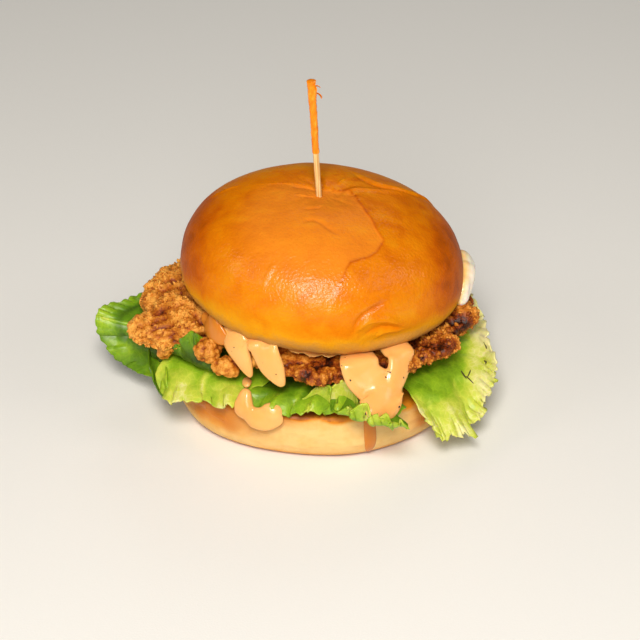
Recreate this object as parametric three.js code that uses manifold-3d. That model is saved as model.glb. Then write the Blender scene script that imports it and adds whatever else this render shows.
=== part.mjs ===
// A fried chicken burger with a cocktail stick through it.
// Millimetres, +Z up, -Y is the front. The origin is the middle of the heel's flat underside.
// From the bottom: heel of the bun, four lettuce leaves, breaded chicken fillet, sauce, bun crown.

import * as THREE from 'three';
import { mergeVertices } from 'three/addons/utils/BufferGeometryUtils.js';
import Module from 'manifold-3d';

const wasm = await Module();
wasm.setup();

// ---------------------------------------------------------------- sizes

const SEAT_GAP = 0.3; // left between touching pieces

const HEEL = {
  radiusX: 56.5,
  radiusY: 50,
  offsetX: 0.5,
  power: 2.15, // of the outline seen from above; 2 is a plain ellipse
  height: 22,
  rimHeight: 19.5, // of the cut face where it meets the side
  bellyHeight: 9, // of the widest girth
  cornerBevel: 1.2,
  // Radii as shares of the belly's
  base: 0.86,
  top: 0.97,
  flatTop: 0.55, // the level middle of the cut face
  // The outline's own unevenness
  waves: 5,
  waveDepth: 0.6,
};

const CROWN = {
  radiusX: 55.1,
  radiusY: 50.0,
  height: 45.6,
  beltHeight: 10.5, // height of the widest girth above the cut face
  mouth: 0.78, // radius of the cut face as a share of the girth
  power: 2.37, // of the dome's superellipse; 2 is a plain ellipse
};
const CROWN_SEAT = { x: 0.5, y: 0.2, z: 45.8, tiltX: 0.8, tiltY: 5.2 };
// Marks on the baked skin, each fading away from its own spot: depth is inwards.
const DIMPLE = { x: -1, y: 2, depth: 2.2, reach: 9.5 };
const FOLD = { x: 27, z: 9, depth: 2, reachX: 11.4, reachZ: 3.5 };
const RIDGE = { x: 26, y: 14, depth: -1.1, reachX: 13.4, reachY: 7.7 };
const CRUST_UNEVEN = { depth: 0.5, length: 46, phase: 1.3 };

const FILLET = {
  underside: 31.6,
  topGap: 2.4, // below the crown's cut face
  radius: 46,
  rimPower: 2.6,
  shoulderTop: 47, // height of the upper face outside the bun
  shoulderFrom: 43, // radii between which the upper face rises to it
  shoulderTo: 62,
  topCrags: { depth: 0.4, length: 13, phase: 0.4 },
  undersideCrags: { depth: 0.3, length: 15, phase: 2 },
  edgeCrags: [[11, 1.1, 1], [19, 0.8, 0]], // waves round the edge, depth, phase
  lobes: [ // azimuth, angular half width, reach
    [-22, 50, 17],
    [163, 30, 19],
    [195, 16, 20],
    [-143, 9, -3],
    [55, 25, 3],
  ],
};

const LEAF = {
  thickness: 1.6,
  layerStep: 2.8, // an upper leaf lies this far above a lower one
  innerRadius: 7,
  middle: 25.8,
  floor: 23.1,
  ceiling: 27.7,
  crumple: { depth: 2.3, length: 21, phase: 0.9 },
  ruffle: 3.6,
  ruffleCount: 15, // round a full turn
  frill: [[9, 1.6, 1], [23, 1.1, 0]], // waves round a full turn, depth, phase
  endRounding: 0.22,
  bedRadius: 52, // where the heel stops carrying the leaves
  // Height of the free rims: low in front, high at the back and at the left tip
  frontRim: 17,
  backRim: 30,
  tip: { azimuth: 174, halfWidth: 12, rise: 3 },
};
const LEAVES = [ // sector in degrees, layer, radius at the rim and its lobes
  { name: 'lettuce_left', from: 92, to: 216, layer: 0, radius: 56, lobes: [[177, 13, 32], [198, 13, 12]] },
  { name: 'lettuce_front_left', from: 196, to: 260, layer: 1, radius: 50, lobes: [[207, 14, 14]] },
  { name: 'lettuce_front', from: 240, to: 316, layer: 0, radius: 51, lobes: [[304, 22, 11]] },
  { name: 'lettuce_right', from: 300, to: 444, layer: 1, radius: 55, lobes: [[322, 26, 23], [352, 20, 5]] },
];

const STICK = { radius: 1.15, length: 100, topX: -2.3, topZ: 137.8, entryX: 0.6, entryZ: 88.3, point: 9 };
const STICK_HOLE_RADIUS = STICK.radius + 0.35;
const FRILL = { length: 30, outerRadius: 1.75, flare: 4, flareLength: 11 };

// Sauce runs, station by station from the bun's mouth down the fillet:
// [azimuth in degrees, radius, height, half width, half depth].
const SAUCE_RUNS = [
  [[213, 38, 47.6, 5, 1.2], [214, 44, 47.6, 5, 1.8], [218, 48.5, 46.8, 4.8, 2.4], [229, 50, 44, 4.6, 2.4],
    [238, 51, 40.5, 4.4, 2.2], [247, 52, 37.5, 3.6, 2]],
  [[240, 37, 46, 5, 1.2], [240, 42, 46, 5, 1.8], [242, 46, 45.8, 4.8, 2.4], [248, 49.5, 42.5, 4.2, 2.4],
    [252, 51, 38.5, 3.8, 2.2], [254.5, 52, 35, 3, 2]],
  [[288, 37, 42.8, 6, 1.2], [288, 43, 42.6, 6, 1.8], [289, 47.5, 42.4, 6, 2.4], [290.5, 51.5, 40.6, 5.4, 2.6],
    [293, 56, 38, 5, 2.8], [294, 58, 35, 6, 2.8], [294, 61.5, 32, 8.6, 3], [296, 64.5, 28.5, 8, 2.8],
    [297, 66, 25.5, 5, 2.2]],
  [[306, 37, 42, 5, 1.2], [306, 44, 41.9, 5, 1.8], [306, 49, 41.8, 4.6, 2.4], [302, 54, 40.5, 4.4, 2.6],
    [298, 57, 38, 4.4, 2.6], [294.5, 58, 35.5, 5, 2.8]],
];
const SAUCE_LAYER = {
  radius: 46,
  half: 0.85,
  power: 2.4,
  belowCrown: 1.2,
  edge: [[7, 1.5, 0], [4, 1.2, 2]], // waves round the edge, depth, phase
};
const HEEL_SAUCE = [
  [[241, 50, 29, 3.8, 2], [241, 52, 25, 5.6, 2.6], [245, 53.5, 22, 9, 2.8], [246, 54, 18, 8, 2.2]],
];
const CREAM = [
  [[22, 46, 46.4, 3, 1.2], [18, 52.5, 48.5, 3.6, 2.2], [13, 57, 51.5, 4.4, 3], [6, 58.2, 54.5, 4, 3.2],
    [358, 57.6, 51, 4.6, 3.2], [350, 56, 46.5, 3.6, 2.6]],
];

const COLOURS = {
  crust: 0xd9791c,
  crumb: 0xd9a548,
  breading: 0x9a5a22,
  leaf: 0x8fa93a,
  mayo: 0xf1b46a,
  cream: 0xf5e6c8,
  wood: 0xe6bd7c,
  film: 0xf28a22,
};

// ---------------------------------------------------------------- shaping helpers

const { clamp, degToRad, smoothstep, lerp, mapLinear } = THREE.MathUtils;

// 1 at the centre azimuth, falling to 1/e at the half width, repeating every turn.
function lobe(azimuth, centre, halfWidth) {
  const fall = 1 - Math.cos(degToRad(halfWidth));
  return Math.exp((Math.cos(azimuth - degToRad(centre)) - 1) / fall);
}

function lobedRadius(azimuth, radius, lobes) {
  const reaches = lobes.map(([centre, halfWidth, reach]) => reach * lobe(azimuth, centre, halfWidth));
  return reaches.reduce((sum, reach) => sum + reach, radius);
}

// 1 on the spot, fading to 1/e one reach away; each pair is a distance and its reach.
function fade(...pairs) {
  return Math.exp(-pairs.reduce((sum, [distance, reach]) => sum + (distance / reach) ** 2, 0));
}

// Sum of sine waves round the azimuth: [count, depth, phase] each.
function edgeWaves(azimuth, waves) {
  return waves.reduce((sum, [count, depth, phase]) => sum + depth * Math.sin(count * azimuth + phase), 0);
}

// Smooth uneven waves of the given depth, running in three skewed directions.
function uneven(x, y, z, { depth, length, phase }) {
  const k = (2 * Math.PI) / length;
  const a = Math.sin(k * (x + 0.6 * y + 0.4 * z) + phase);
  const b = Math.sin(k * (0.8 * y - 0.5 * x + 0.7 * z) * 1.3 + 2.1 * phase);
  const c = Math.sin(k * (0.9 * z - 0.3 * y + 0.8 * x) * 0.8 + 3.7 * phase);
  return (depth * (a + b + c)) / 3;
}

function reshaped(geometry, place) {
  const spots = geometry.attributes.position;
  const spot = new THREE.Vector3();
  for (let i = 0; i < spots.count; i += 1) {
    place(spot.fromBufferAttribute(spots, i));
    spots.setXYZ(i, spot.x, spot.y, spot.z);
  }
  return geometry;
}

// A profile of [radius, height] turned about +Z.
function turned(profile, sides) {
  const points = profile.map(([radius, height]) => new THREE.Vector2(radius, height));
  return new THREE.LatheGeometry(points, sides).rotateX(Math.PI / 2);
}

// Superellipse section of unit radius and unit half height, from the lower pole to the upper.
function slabProfile(steps, power) {
  const profile = [];
  for (let i = 0; i <= steps; i += 1) {
    const angle = Math.PI * (i / steps - 0.5);
    const radius = Math.abs(Math.cos(angle)) ** (2 / power);
    const height = Math.sign(angle) * Math.abs(Math.sin(angle)) ** (2 / power);
    profile.push([i === 0 || i === steps ? 0 : radius, height]);
  }
  return profile;
}

function toSolid(geometry) {
  const bare = geometry.clone();
  bare.deleteAttribute('normal');
  bare.deleteAttribute('uv');
  const merged = mergeVertices(bare, 1e-3);
  return new wasm.Manifold(new wasm.Mesh({
    numProp: 3,
    vertProperties: new Float32Array(merged.attributes.position.array),
    triVerts: new Uint32Array(merged.index.array),
  }));
}

function toGeometry(solid) {
  const { vertProperties, triVerts } = solid.getMesh();
  const geometry = new THREE.BufferGeometry();
  geometry.setAttribute('position', new THREE.BufferAttribute(vertProperties, 3));
  geometry.setIndex(new THREE.BufferAttribute(triVerts, 1));
  geometry.computeVertexNormals();
  return geometry;
}

function largestPiece(solid) {
  return solid.decompose().reduce((best, piece) => (piece.volume() > best.volume() ? piece : best));
}

function without(blank, cutters) {
  return largestPiece(cutters.reduce((rest, cutter) => rest.subtract(cutter), blank));
}

function together(solids) {
  return solids.reduce((whole, solid) => whole.add(solid));
}

// ---------------------------------------------------------------- heel of the bun

function heelRadius(azimuth) {
  const { radiusX, radiusY, power, waves, waveDepth } = HEEL;
  const acrossX = Math.abs(Math.cos(azimuth) / radiusX) ** power;
  const acrossY = Math.abs(Math.sin(azimuth) / radiusY) ** power;
  return (acrossX + acrossY) ** (-1 / power) + waveDepth * Math.sin(waves * azimuth + 2);
}

function heelGeometry(grow) {
  const { offsetX, height, rimHeight, bellyHeight, cornerBevel, base, top, flatTop } = HEEL;
  const profile = [[0, 0], [base / 2, 0], [base, 0]];
  const rings = 5;
  for (let i = 1; i <= rings; i += 1) {
    const angle = (i / rings) * (Math.PI / 2);
    profile.push([lerp(base, 1, Math.sin(angle)), bellyHeight * (1 - Math.cos(angle))]);
  }
  profile.push([lerp(1, top, 0.35), lerp(bellyHeight, rimHeight, 0.5)]);
  profile.push([top, rimHeight - cornerBevel], [top - 0.025, rimHeight]);
  profile.push([lerp(flatTop, top, 0.55), lerp(rimHeight, height, 0.8)]);
  profile.push([flatTop, height], [flatTop / 2, height], [0, height]);
  return reshaped(turned(profile, 40), (p) => {
    const radius = heelRadius(Math.atan2(p.y, p.x)) + grow;
    const lift = mapLinear(p.z, 0, height, -grow, grow);
    p.set(p.x * radius + offsetX, p.y * radius, p.z + lift);
  });
}

// ---------------------------------------------------------------- crown of the bun

const crownSeat = new THREE.Group();
crownSeat.position.set(CROWN_SEAT.x, CROWN_SEAT.y, CROWN_SEAT.z);
crownSeat.rotation.set(degToRad(CROWN_SEAT.tiltX), degToRad(CROWN_SEAT.tiltY), 0);
crownSeat.updateMatrixWorld();

// Height of the crown's cut face, extended past its rim.
function crownFace(x, y) {
  const slopeX = Math.tan(degToRad(CROWN_SEAT.tiltY));
  const slopeY = Math.tan(degToRad(CROWN_SEAT.tiltX));
  return CROWN_SEAT.z - slopeX * (x - CROWN_SEAT.x) + slopeY * (y - CROWN_SEAT.y);
}

function crownProfile() {
  const { height, beltHeight, mouth, power } = CROWN;
  const profile = [[0, 0], [mouth * 0.35, 0], [mouth * 0.7, 0]];
  const curlSteps = 4;
  for (let i = 0; i <= curlSteps; i += 1) {
    const angle = (i / curlSteps) * (Math.PI / 2);
    profile.push([mouth + (1 - mouth) * Math.sin(angle), beltHeight * (1 - Math.cos(angle))]);
  }
  const domeSteps = 10;
  for (let i = 1; i <= domeSteps; i += 1) {
    const angle = (i / domeSteps) * (Math.PI / 2);
    const radius = i === domeSteps ? 0 : Math.cos(angle) ** (2 / power);
    profile.push([radius, beltHeight + (height - beltHeight) * Math.sin(angle) ** (2 / power)]);
  }
  return profile;
}

// How far the baked skin stands out: the dimple round the stick, a pinched fold in front, a ridge.
function crownRelief(x, y, z) {
  const dimple = DIMPLE.depth * fade([x - DIMPLE.x, DIMPLE.reach], [y - DIMPLE.y, DIMPLE.reach]);
  const fold = y < 0 ? FOLD.depth * fade([x - FOLD.x, FOLD.reachX], [z - FOLD.z, FOLD.reachZ]) : 0;
  const ridge = RIDGE.depth * fade([x - RIDGE.x, RIDGE.reachX], [y - RIDGE.y, RIDGE.reachY]);
  return uneven(x, y, z, CRUST_UNEVEN) - dimple - fold - ridge;
}

function crownGeometry(grow) {
  const { radiusX, radiusY, height } = CROWN;
  return reshaped(turned(crownProfile(), 40), (p) => {
    const isCutFace = p.z < 0.01;
    const relief = isCutFace ? 0 : crownRelief(p.x * radiusX, p.y * radiusY, p.z);
    const swell = relief + grow;
    const lift = isCutFace ? -grow : (p.z / height) * swell;
    p.set(p.x * (radiusX + swell), p.y * (radiusY + swell), p.z + lift);
  });
}

// ---------------------------------------------------------------- breaded fillet

function filletRadius(azimuth) {
  return lobedRadius(azimuth, FILLET.radius, FILLET.lobes);
}

function filletGeometry(grow) {
  const { underside, topGap, rimPower, shoulderTop, shoulderFrom, shoulderTo } = FILLET;
  return reshaped(turned(slabProfile(10, rimPower), 56), (p) => {
    const azimuth = Math.atan2(p.y, p.x);
    const reach = filletRadius(azimuth) + edgeWaves(azimuth, FILLET.edgeCrags) + grow;
    const radius = Math.hypot(p.x, p.y) * reach;
    const x = radius * Math.cos(azimuth);
    const y = radius * Math.sin(azimuth);
    const outside = smoothstep(radius, shoulderFrom, shoulderTo);
    const topLimit = lerp(crownFace(x, y) - topGap, shoulderTop, outside);
    const top = topLimit - FILLET.topCrags.depth - uneven(x, y, 0, FILLET.topCrags);
    const bottom = underside + FILLET.undersideCrags.depth + uneven(x, y, 0, FILLET.undersideCrags);
    const half = (top - bottom) / 2 + grow;
    p.set(x, y, (top + bottom) / 2 + p.z * half);
  });
}

// ---------------------------------------------------------------- lettuce

// Middle height of a lower leaf: crumpled between the heel and the fillet, ruffled beyond them.
function leafHeight(azimuth, radius) {
  const { middle, crumple, ruffle, ruffleCount, bedRadius, frontRim, backRim, tip } = LEAF;
  const x = radius * Math.cos(azimuth);
  const y = radius * Math.sin(azimuth);
  const backShare = (1 + Math.tanh(4 * Math.sin(azimuth) + 0.6)) / 2;
  const rim = lerp(frontRim, backRim, backShare) + tip.rise * lobe(azimuth, tip.azimuth, tip.halfWidth);
  const inner = middle + uneven(x, y, 0, crumple);
  const sway = ruffleCount * azimuth + 1.4 * Math.sin(3 * azimuth) + radius / 9;
  const wave = ruffle * smoothstep(radius, bedRadius - 12, bedRadius + 8) * Math.sin(sway);
  const height = lerp(inner, rim, smoothstep(radius, bedRadius - 6, bedRadius + 14)) + wave;
  const covered = filletRadius(azimuth);
  const ceiling = LEAF.ceiling + 9 * smoothstep(radius, covered + 1, covered + 12);
  const floor = LEAF.floor - 14 * smoothstep(radius, bedRadius, bedRadius + 8);
  return clamp(height, floor, ceiling);
}

function leafGeometry({ from, to, layer, radius, lobes }, grow) {
  const { thickness, layerStep, innerRadius, endRounding } = LEAF;
  const degreesPerStep = 4;
  const ringSteps = 7;
  const blank = new THREE.BoxGeometry(1, 1, 1, (to - from) / degreesPerStep, ringSteps, 1);
  return reshaped(blank, (p) => {
    const along = p.x + 0.5;
    const azimuth = degToRad(lerp(to, from, along));
    const rounding = 1 - endRounding * Math.abs(2 * along - 1) ** 8;
    const reach = rounding * (lobedRadius(azimuth, radius, lobes) + edgeWaves(azimuth, LEAF.frill) + grow);
    const spotRadius = lerp(innerRadius, reach, p.y + 0.5);
    const height = leafHeight(azimuth, spotRadius) + layer * layerStep + p.z * (thickness + 2 * grow);
    p.set(spotRadius * Math.cos(azimuth), spotRadius * Math.sin(azimuth), height);
  });
}

// ---------------------------------------------------------------- sauces

// One run of sauce: a rounded tongue through its stations, wide across and thin off the surface.
function sauceRun(stations) {
  const path = new THREE.CatmullRomCurve3(stations.map(([degrees, radius, height]) => (
    new THREE.Vector3(radius * Math.cos(degToRad(degrees)), radius * Math.sin(degToRad(degrees)), height)
  )));
  const girth = new THREE.CatmullRomCurve3(stations.map(([, , , across, off]) => (
    new THREE.Vector3(across, off, 0)
  )));
  const bluntness = 0.55;
  const blank = new THREE.SphereGeometry(1, 8, 2 * stations.length);
  return toSolid(reshaped(blank, (p) => {
    const along = clamp((1 - p.y) / 2, 0, 1);
    const centre = path.getPoint(along);
    const { x: across, y: off } = girth.getPoint(along);
    const sideways = new THREE.Vector3(-centre.y, centre.x, 0).normalize();
    const offwards = sideways.clone().cross(path.getTangent(along)).normalize();
    const ring = Math.hypot(p.x, p.z);
    const swell = ring < 1e-6 ? 0 : ring ** bluntness / ring;
    centre.addScaledVector(sideways, -p.x * swell * across);
    p.copy(centre.addScaledVector(offwards, p.z * swell * off));
  }));
}

function sauceLayer() {
  const { radius, half, power, belowCrown } = SAUCE_LAYER;
  return toSolid(reshaped(turned(slabProfile(6, power), 28), (p) => {
    const azimuth = Math.atan2(p.y, p.x);
    const reach = radius + edgeWaves(azimuth, SAUCE_LAYER.edge);
    p.x *= reach;
    p.y *= reach;
    p.z = crownFace(p.x, p.y) - belowCrown + p.z * half;
  }));
}

// ---------------------------------------------------------------- stick and frill

const lean = Math.atan2(STICK.topX - STICK.entryX, STICK.topZ - STICK.entryZ);
const stickSeat = new THREE.Group();
stickSeat.position.set(
  STICK.topX - STICK.length * Math.sin(lean),
  0,
  STICK.topZ - STICK.length * Math.cos(lean),
);
stickSeat.rotation.y = lean;
stickSeat.updateMatrixWorld();

function stickGeometry() {
  const { radius, length, point } = STICK;
  const bevel = 0.4;
  const profile = [[0, 0], [radius * 0.45, 1.2], [radius, point], [radius, length - bevel]];
  profile.push([radius - bevel, length], [0, length]);
  return turned(profile, 12);
}

// Drilled for the stick, a little wider and deeper than it, and open at the top.
function stickHole() {
  const blind = -0.8;
  const above = 75;
  const hole = turned([[0, blind], [STICK_HOLE_RADIUS, blind], [STICK_HOLE_RADIUS, above], [0, above]], 16);
  return toSolid(hole.applyMatrix4(stickSeat.matrixWorld));
}

// Film rolled round the stick's upper end, flaring into a tuft that leans to +X at the top.
function frillGeometry() {
  const { length, outerRadius, flare, flareLength } = FRILL;
  const bore = STICK.radius + SEAT_GAP;
  const profile = [[bore, 0], [outerRadius, 0.3]];
  const steps = 6;
  for (let i = 0; i <= steps; i += 1) {
    profile.push([outerRadius, lerp(length - flareLength, length - 1, i / steps)]);
  }
  profile.push([bore, length], [bore, 0]);
  return reshaped(turned(profile, 16), (p) => {
    const azimuth = Math.atan2(p.y, p.x);
    const opened = smoothstep(p.z, length - flareLength, length - 3);
    const isOuter = Math.hypot(p.x, p.y) > bore + 0.1;
    const push = isOuter ? opened * flare * Math.max(0, Math.cos(azimuth)) ** 2 : 0;
    p.set(p.x + push * Math.cos(azimuth), p.y + push * Math.sin(azimuth), p.z + STICK.length - length);
  });
}

// ---------------------------------------------------------------- assembly

function named(name, geometry, colour, roughness) {
  const material = new THREE.MeshStandardMaterial({ color: colour, roughness, metalness: 0 });
  const mesh = new THREE.Mesh(geometry, material);
  mesh.name = name;
  return mesh;
}

const hole = stickHole();
const toCrown = crownSeat.matrixWorld.clone().invert();
const holeInCrown = toSolid(toGeometry(hole).applyMatrix4(toCrown));
const crownCutter = toSolid(crownGeometry(SEAT_GAP).applyMatrix4(crownSeat.matrixWorld));
const filletCutter = toSolid(filletGeometry(SEAT_GAP));
const heelCutter = toSolid(heelGeometry(SEAT_GAP));
const leafCutters = LEAVES.map((leaf) => toSolid(leafGeometry(leaf, SEAT_GAP)));

// Upper leaves give way where they dip onto the lower ones.
const lowerCutters = leafCutters.filter((_, i) => LEAVES[i].layer === 0);
const leaves = LEAVES.map((leaf) => {
  const blank = toSolid(leafGeometry(leaf, 0));
  return without(blank, leaf.layer > 0 ? lowerCutters : []);
});

const crown = toSolid(crownGeometry(0)).subtract(holeInCrown);
const fillet = toSolid(filletGeometry(0)).subtract(hole);
const mayo = without(
  together([sauceLayer(), ...SAUCE_RUNS.map(sauceRun)]),
  [crownCutter, filletCutter, ...leafCutters, hole],
);
const heelSauce = without(
  together(HEEL_SAUCE.map(sauceRun)),
  [heelCutter, ...leafCutters, filletCutter, mayo],
);
const cream = without(together(CREAM.map(sauceRun)), [crownCutter, filletCutter, mayo]);

const burger = new THREE.Group();
burger.add(named('heel_bun', heelGeometry(0), COLOURS.crumb, 0.7));
leaves.forEach((leaf, i) => burger.add(named(LEAVES[i].name, toGeometry(leaf), COLOURS.leaf, 0.45)));
burger.add(named('chicken_fillet', toGeometry(fillet), COLOURS.breading, 0.65));
burger.add(named('sauce', toGeometry(mayo), COLOURS.mayo, 0.3));
burger.add(named('sauce_on_heel', toGeometry(heelSauce), COLOURS.mayo, 0.3));
burger.add(named('cream_dressing', toGeometry(cream), COLOURS.cream, 0.25));

crownSeat.add(named('crown_bun', toGeometry(crown), COLOURS.crust, 0.4));
stickSeat.add(named('cocktail_stick', stickGeometry(), COLOURS.wood, 0.6));
stickSeat.add(named('frill_wrap', frillGeometry(), COLOURS.film, 0.2));
burger.add(crownSeat, stickSeat);

export default burger;
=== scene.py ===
"""A fried chicken burger on a cocktail stick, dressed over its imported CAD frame.

+Z is up and -Y is the front. Shapes are worked out in millimetres, and turned to metres
when their mesh is made.
"""

import itertools
import math

import bmesh
import bpy
import numpy as np
from bpy.props import FloatProperty, FloatVectorProperty, IntProperty, PointerProperty
from mathutils import Matrix, Vector


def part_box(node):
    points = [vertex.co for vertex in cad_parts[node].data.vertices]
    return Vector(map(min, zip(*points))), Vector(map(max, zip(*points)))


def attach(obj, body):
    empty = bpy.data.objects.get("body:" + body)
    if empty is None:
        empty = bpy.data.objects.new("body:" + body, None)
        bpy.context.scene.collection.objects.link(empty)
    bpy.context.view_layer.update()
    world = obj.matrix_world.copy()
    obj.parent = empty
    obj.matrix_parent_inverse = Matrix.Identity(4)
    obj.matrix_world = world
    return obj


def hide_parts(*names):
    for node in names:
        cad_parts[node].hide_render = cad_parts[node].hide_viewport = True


bl_info = {
    "name": "Chicken Burger",
    "version": (1, 0, 0),
    "blender": (4, 5, 0),
    "location": "3D View > Sidebar > Burger",
    "description": "Fried chicken burger with lettuce, sauces and a cocktail stick",
    "category": "Object",
}

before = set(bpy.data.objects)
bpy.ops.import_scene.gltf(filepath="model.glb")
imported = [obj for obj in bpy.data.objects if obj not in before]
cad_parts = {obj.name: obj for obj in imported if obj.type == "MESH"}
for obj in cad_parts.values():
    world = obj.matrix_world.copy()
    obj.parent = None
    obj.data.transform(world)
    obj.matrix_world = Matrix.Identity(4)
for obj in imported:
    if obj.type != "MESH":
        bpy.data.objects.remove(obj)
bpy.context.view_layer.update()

MM = 0.001
ROOT = "root"

# ---------------------------------------------------------------- sizes in millimetres

HEEL_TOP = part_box("heel_bun")[1].z / MM
HEEL = {
    "radius_x": 56.5,
    "radius_y": 50.0,
    "offset_x": 0.5,
    "power": 2.15,  # of the outline seen from above; 2 is a plain ellipse
    "rim_height": 19.5,
    "belly_height": 9.0,
    "corner": 1.2,
    "base": 0.86,
    "top": 0.97,
    "flat_top": 0.55,
}

CROWN = {
    "radius_x": 55.1,
    "radius_y": 50.0,
    "height": 45.6,
    "belt": 10.5,  # height of the widest girth above the cut face
    "mouth": 0.78,  # radius of the cut face as a share of the girth
    "power": 2.37,
}
CROWN_SEAT = Vector((0.5, 0.2, 45.8))
CROWN_TILT = (math.radians(0.8), math.radians(5.2))

# Lines on the baked skin, in the crown's own axes: path, width and height off the skin.
CROWN_LINES = [
    # the tuck over the right shoulder: a crease with a rolled lip behind it
    ([(9, 20.2, 43.4), (13.8, 13.6, 44.2), (20.3, 10.2, 43.6), (30.5, 12, 40.7), (37.7, 16.4, 36.2),
      (44, 20, 28)],
     0.7, -0.75),
    ([(11, 22.6, 42.8), (15.5, 16, 43.9), (21.5, 12.2, 43.2), (31.5, 14, 39.9), (38.7, 18.4, 34.9),
      (44, 22, 27.5)],
     1.3, 0.55),
    ([(3.7, -2.8, 45.6), (6.4, 3.1, 45.5), (9.7, 5.7, 45.2), (16.3, 6.3, 44.6), (25.8, 9.2, 42.5),
      (33.4, 12.3, 39.5)],
     1.2, 0.42),
    # the pinch in front: a crease, a crescent lip under it and a smaller one inside
    ([(10.4, -49.2, 13), (12.4, -48.3, 16.9), (14.1, -47.2, 20.6), (18.5, -45, 23.3), (23.6, -42, 25.4)],
     1.0, -1.0),
    ([(10.9, -48.8, 14.4), (13.4, -48.1, 16.6), (17.9, -46.5, 18.7), (24.9, -44, 18), (32.5, -40.4, 12.5)],
     1.3, 1.2),
    ([(20.2, -46.3, 10), (22.7, -45.5, 13), (27.6, -43.2, 13), (31.4, -41.1, 12.0)],
     0.8, 0.9),
    ([(14.5, -47.8, 12), (20, -46, 15.4), (26, -43.6, 15.2), (31, -41.5, 12.5)],
     1.0, -0.8),
    # small wrinkles
    ([(-19.4, -35.9, 34.6), (-21.6, -39.1, 30.7), (-23.4, -41.9, 25.7)], 0.6, 0.5),
    ([(-46, 10.6, 31.6), (-40, 10.2, 36), (-34, 10.4, 39.5)], 0.7, 0.45),
    ([(-9.6, -11.9, 44.8), (-5.4, -10.8, 45.1), (-2.4, -9, 45.3)], 0.6, -0.6),
    ([(-10.4, -20, 43.6), (-7, -18.4, 43.9), (-3.6, -19.4, 43.7), (0, -22.6, 43.1), (4, -25, 42.5)],
     0.9, -0.55),
    ([(-13, -1.2, 45), (-8, -1.6, 45.3), (-4.5, -0.6, 45.5)], 0.5, 0.5),
    ([(-15, 4.4, 44.9), (-9, 4.8, 45.2), (-5, 4, 45.4)], 0.5, -0.5),
    ([(-3, 9.5, 45.2), (-3.6, 14.5, 44.8), (-6, 19, 44.1)], 0.6, -0.5),
    ([(3.4, 9, 45.2), (6.4, 13.5, 44.7)], 0.6, 0.45),
]
# Border of the sunken matt patch beside the stick, seen from above.
CROWN_PATCH = [(2, 5), (7.9, 4.5), (12.4, -7), (17.3, -17.6), (21.2, -23.8), (18.6, -29.8), (14.9, -33.1),
               (8.3, -35.9), (5, -42)]
CROWN_PATCH_STEP = 0.45
DIMPLE = (-1.0, 2.0, 9.5)  # place and reach
FOLD = (27.0, 9.0, 2.0, 11.4, 3.5)  # x, z, depth and the two reaches
RIDGE = (26.0, 14.0, 0.8, 13.4, 7.7)  # x, y, height and the two reaches

FILLET = {
    "underside": 31.6,
    "top_gap": 2.4,
    "radius": 46.0,
    "rim_power": 2.6,
    "undercut": 0.2,  # how far the lower edge draws in on the right
    "shoulder_top": 47.0,
    "shoulder_from": 43.0,
    "shoulder_to": 62.0,
    "hollows": [(211, 9, 0.07), (331, 15, 0.06)],  # azimuth, half width and share that the edge draws in
    "edge_waves": [(11, 1.1, 1), (19, 0.8, 0)],
    "lobes": [(-22, 50, 17), (163, 30, 19), (195, 16, 20), (-143, 9, -3), (55, 25, 3)],
}
# Swells and hollows of the fillet's free ends: place, height and reach.
MOUNDS = [
    ((-70, 3, 41), 3.4, 8), ((-56, -9, 45), 3.6, 7.5), ((-58, 13, 48), 2.8, 8), ((-65, -6, 41), -3.4, 3.6),
    ((-63, 5, 48), -3.0, 3.4), ((-49, -2, 48), -2.4, 3.5), ((-71, 11, 45), -2.6, 3.2),
    ((-50, -19, 41), 2.0, 6),
    ((-44, -26, 41), -2.4, 3), ((60, -12, 42), 2.4, 7), ((52, -32, 38), 2.2, 6), ((57, -22, 42), -2.6, 3.4),
    ((62, 4, 43), 1.8, 7), ((63, -4, 44), -2.2, 3.2),
]
# Clumps of breading stuck to the fillet's edge: centre and half sizes.
CLUMPS = [
    ((-59, -20.5, 33.5), (2.8, 2.8, 4.2)), ((-41.5, -31, 39), (5.2, 4, 4.6)),
    ((-34.5, -36, 35), (5, 3.6, 3.6)), ((-67, -9, 36.5), (5, 4.2, 4)),
]

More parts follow.
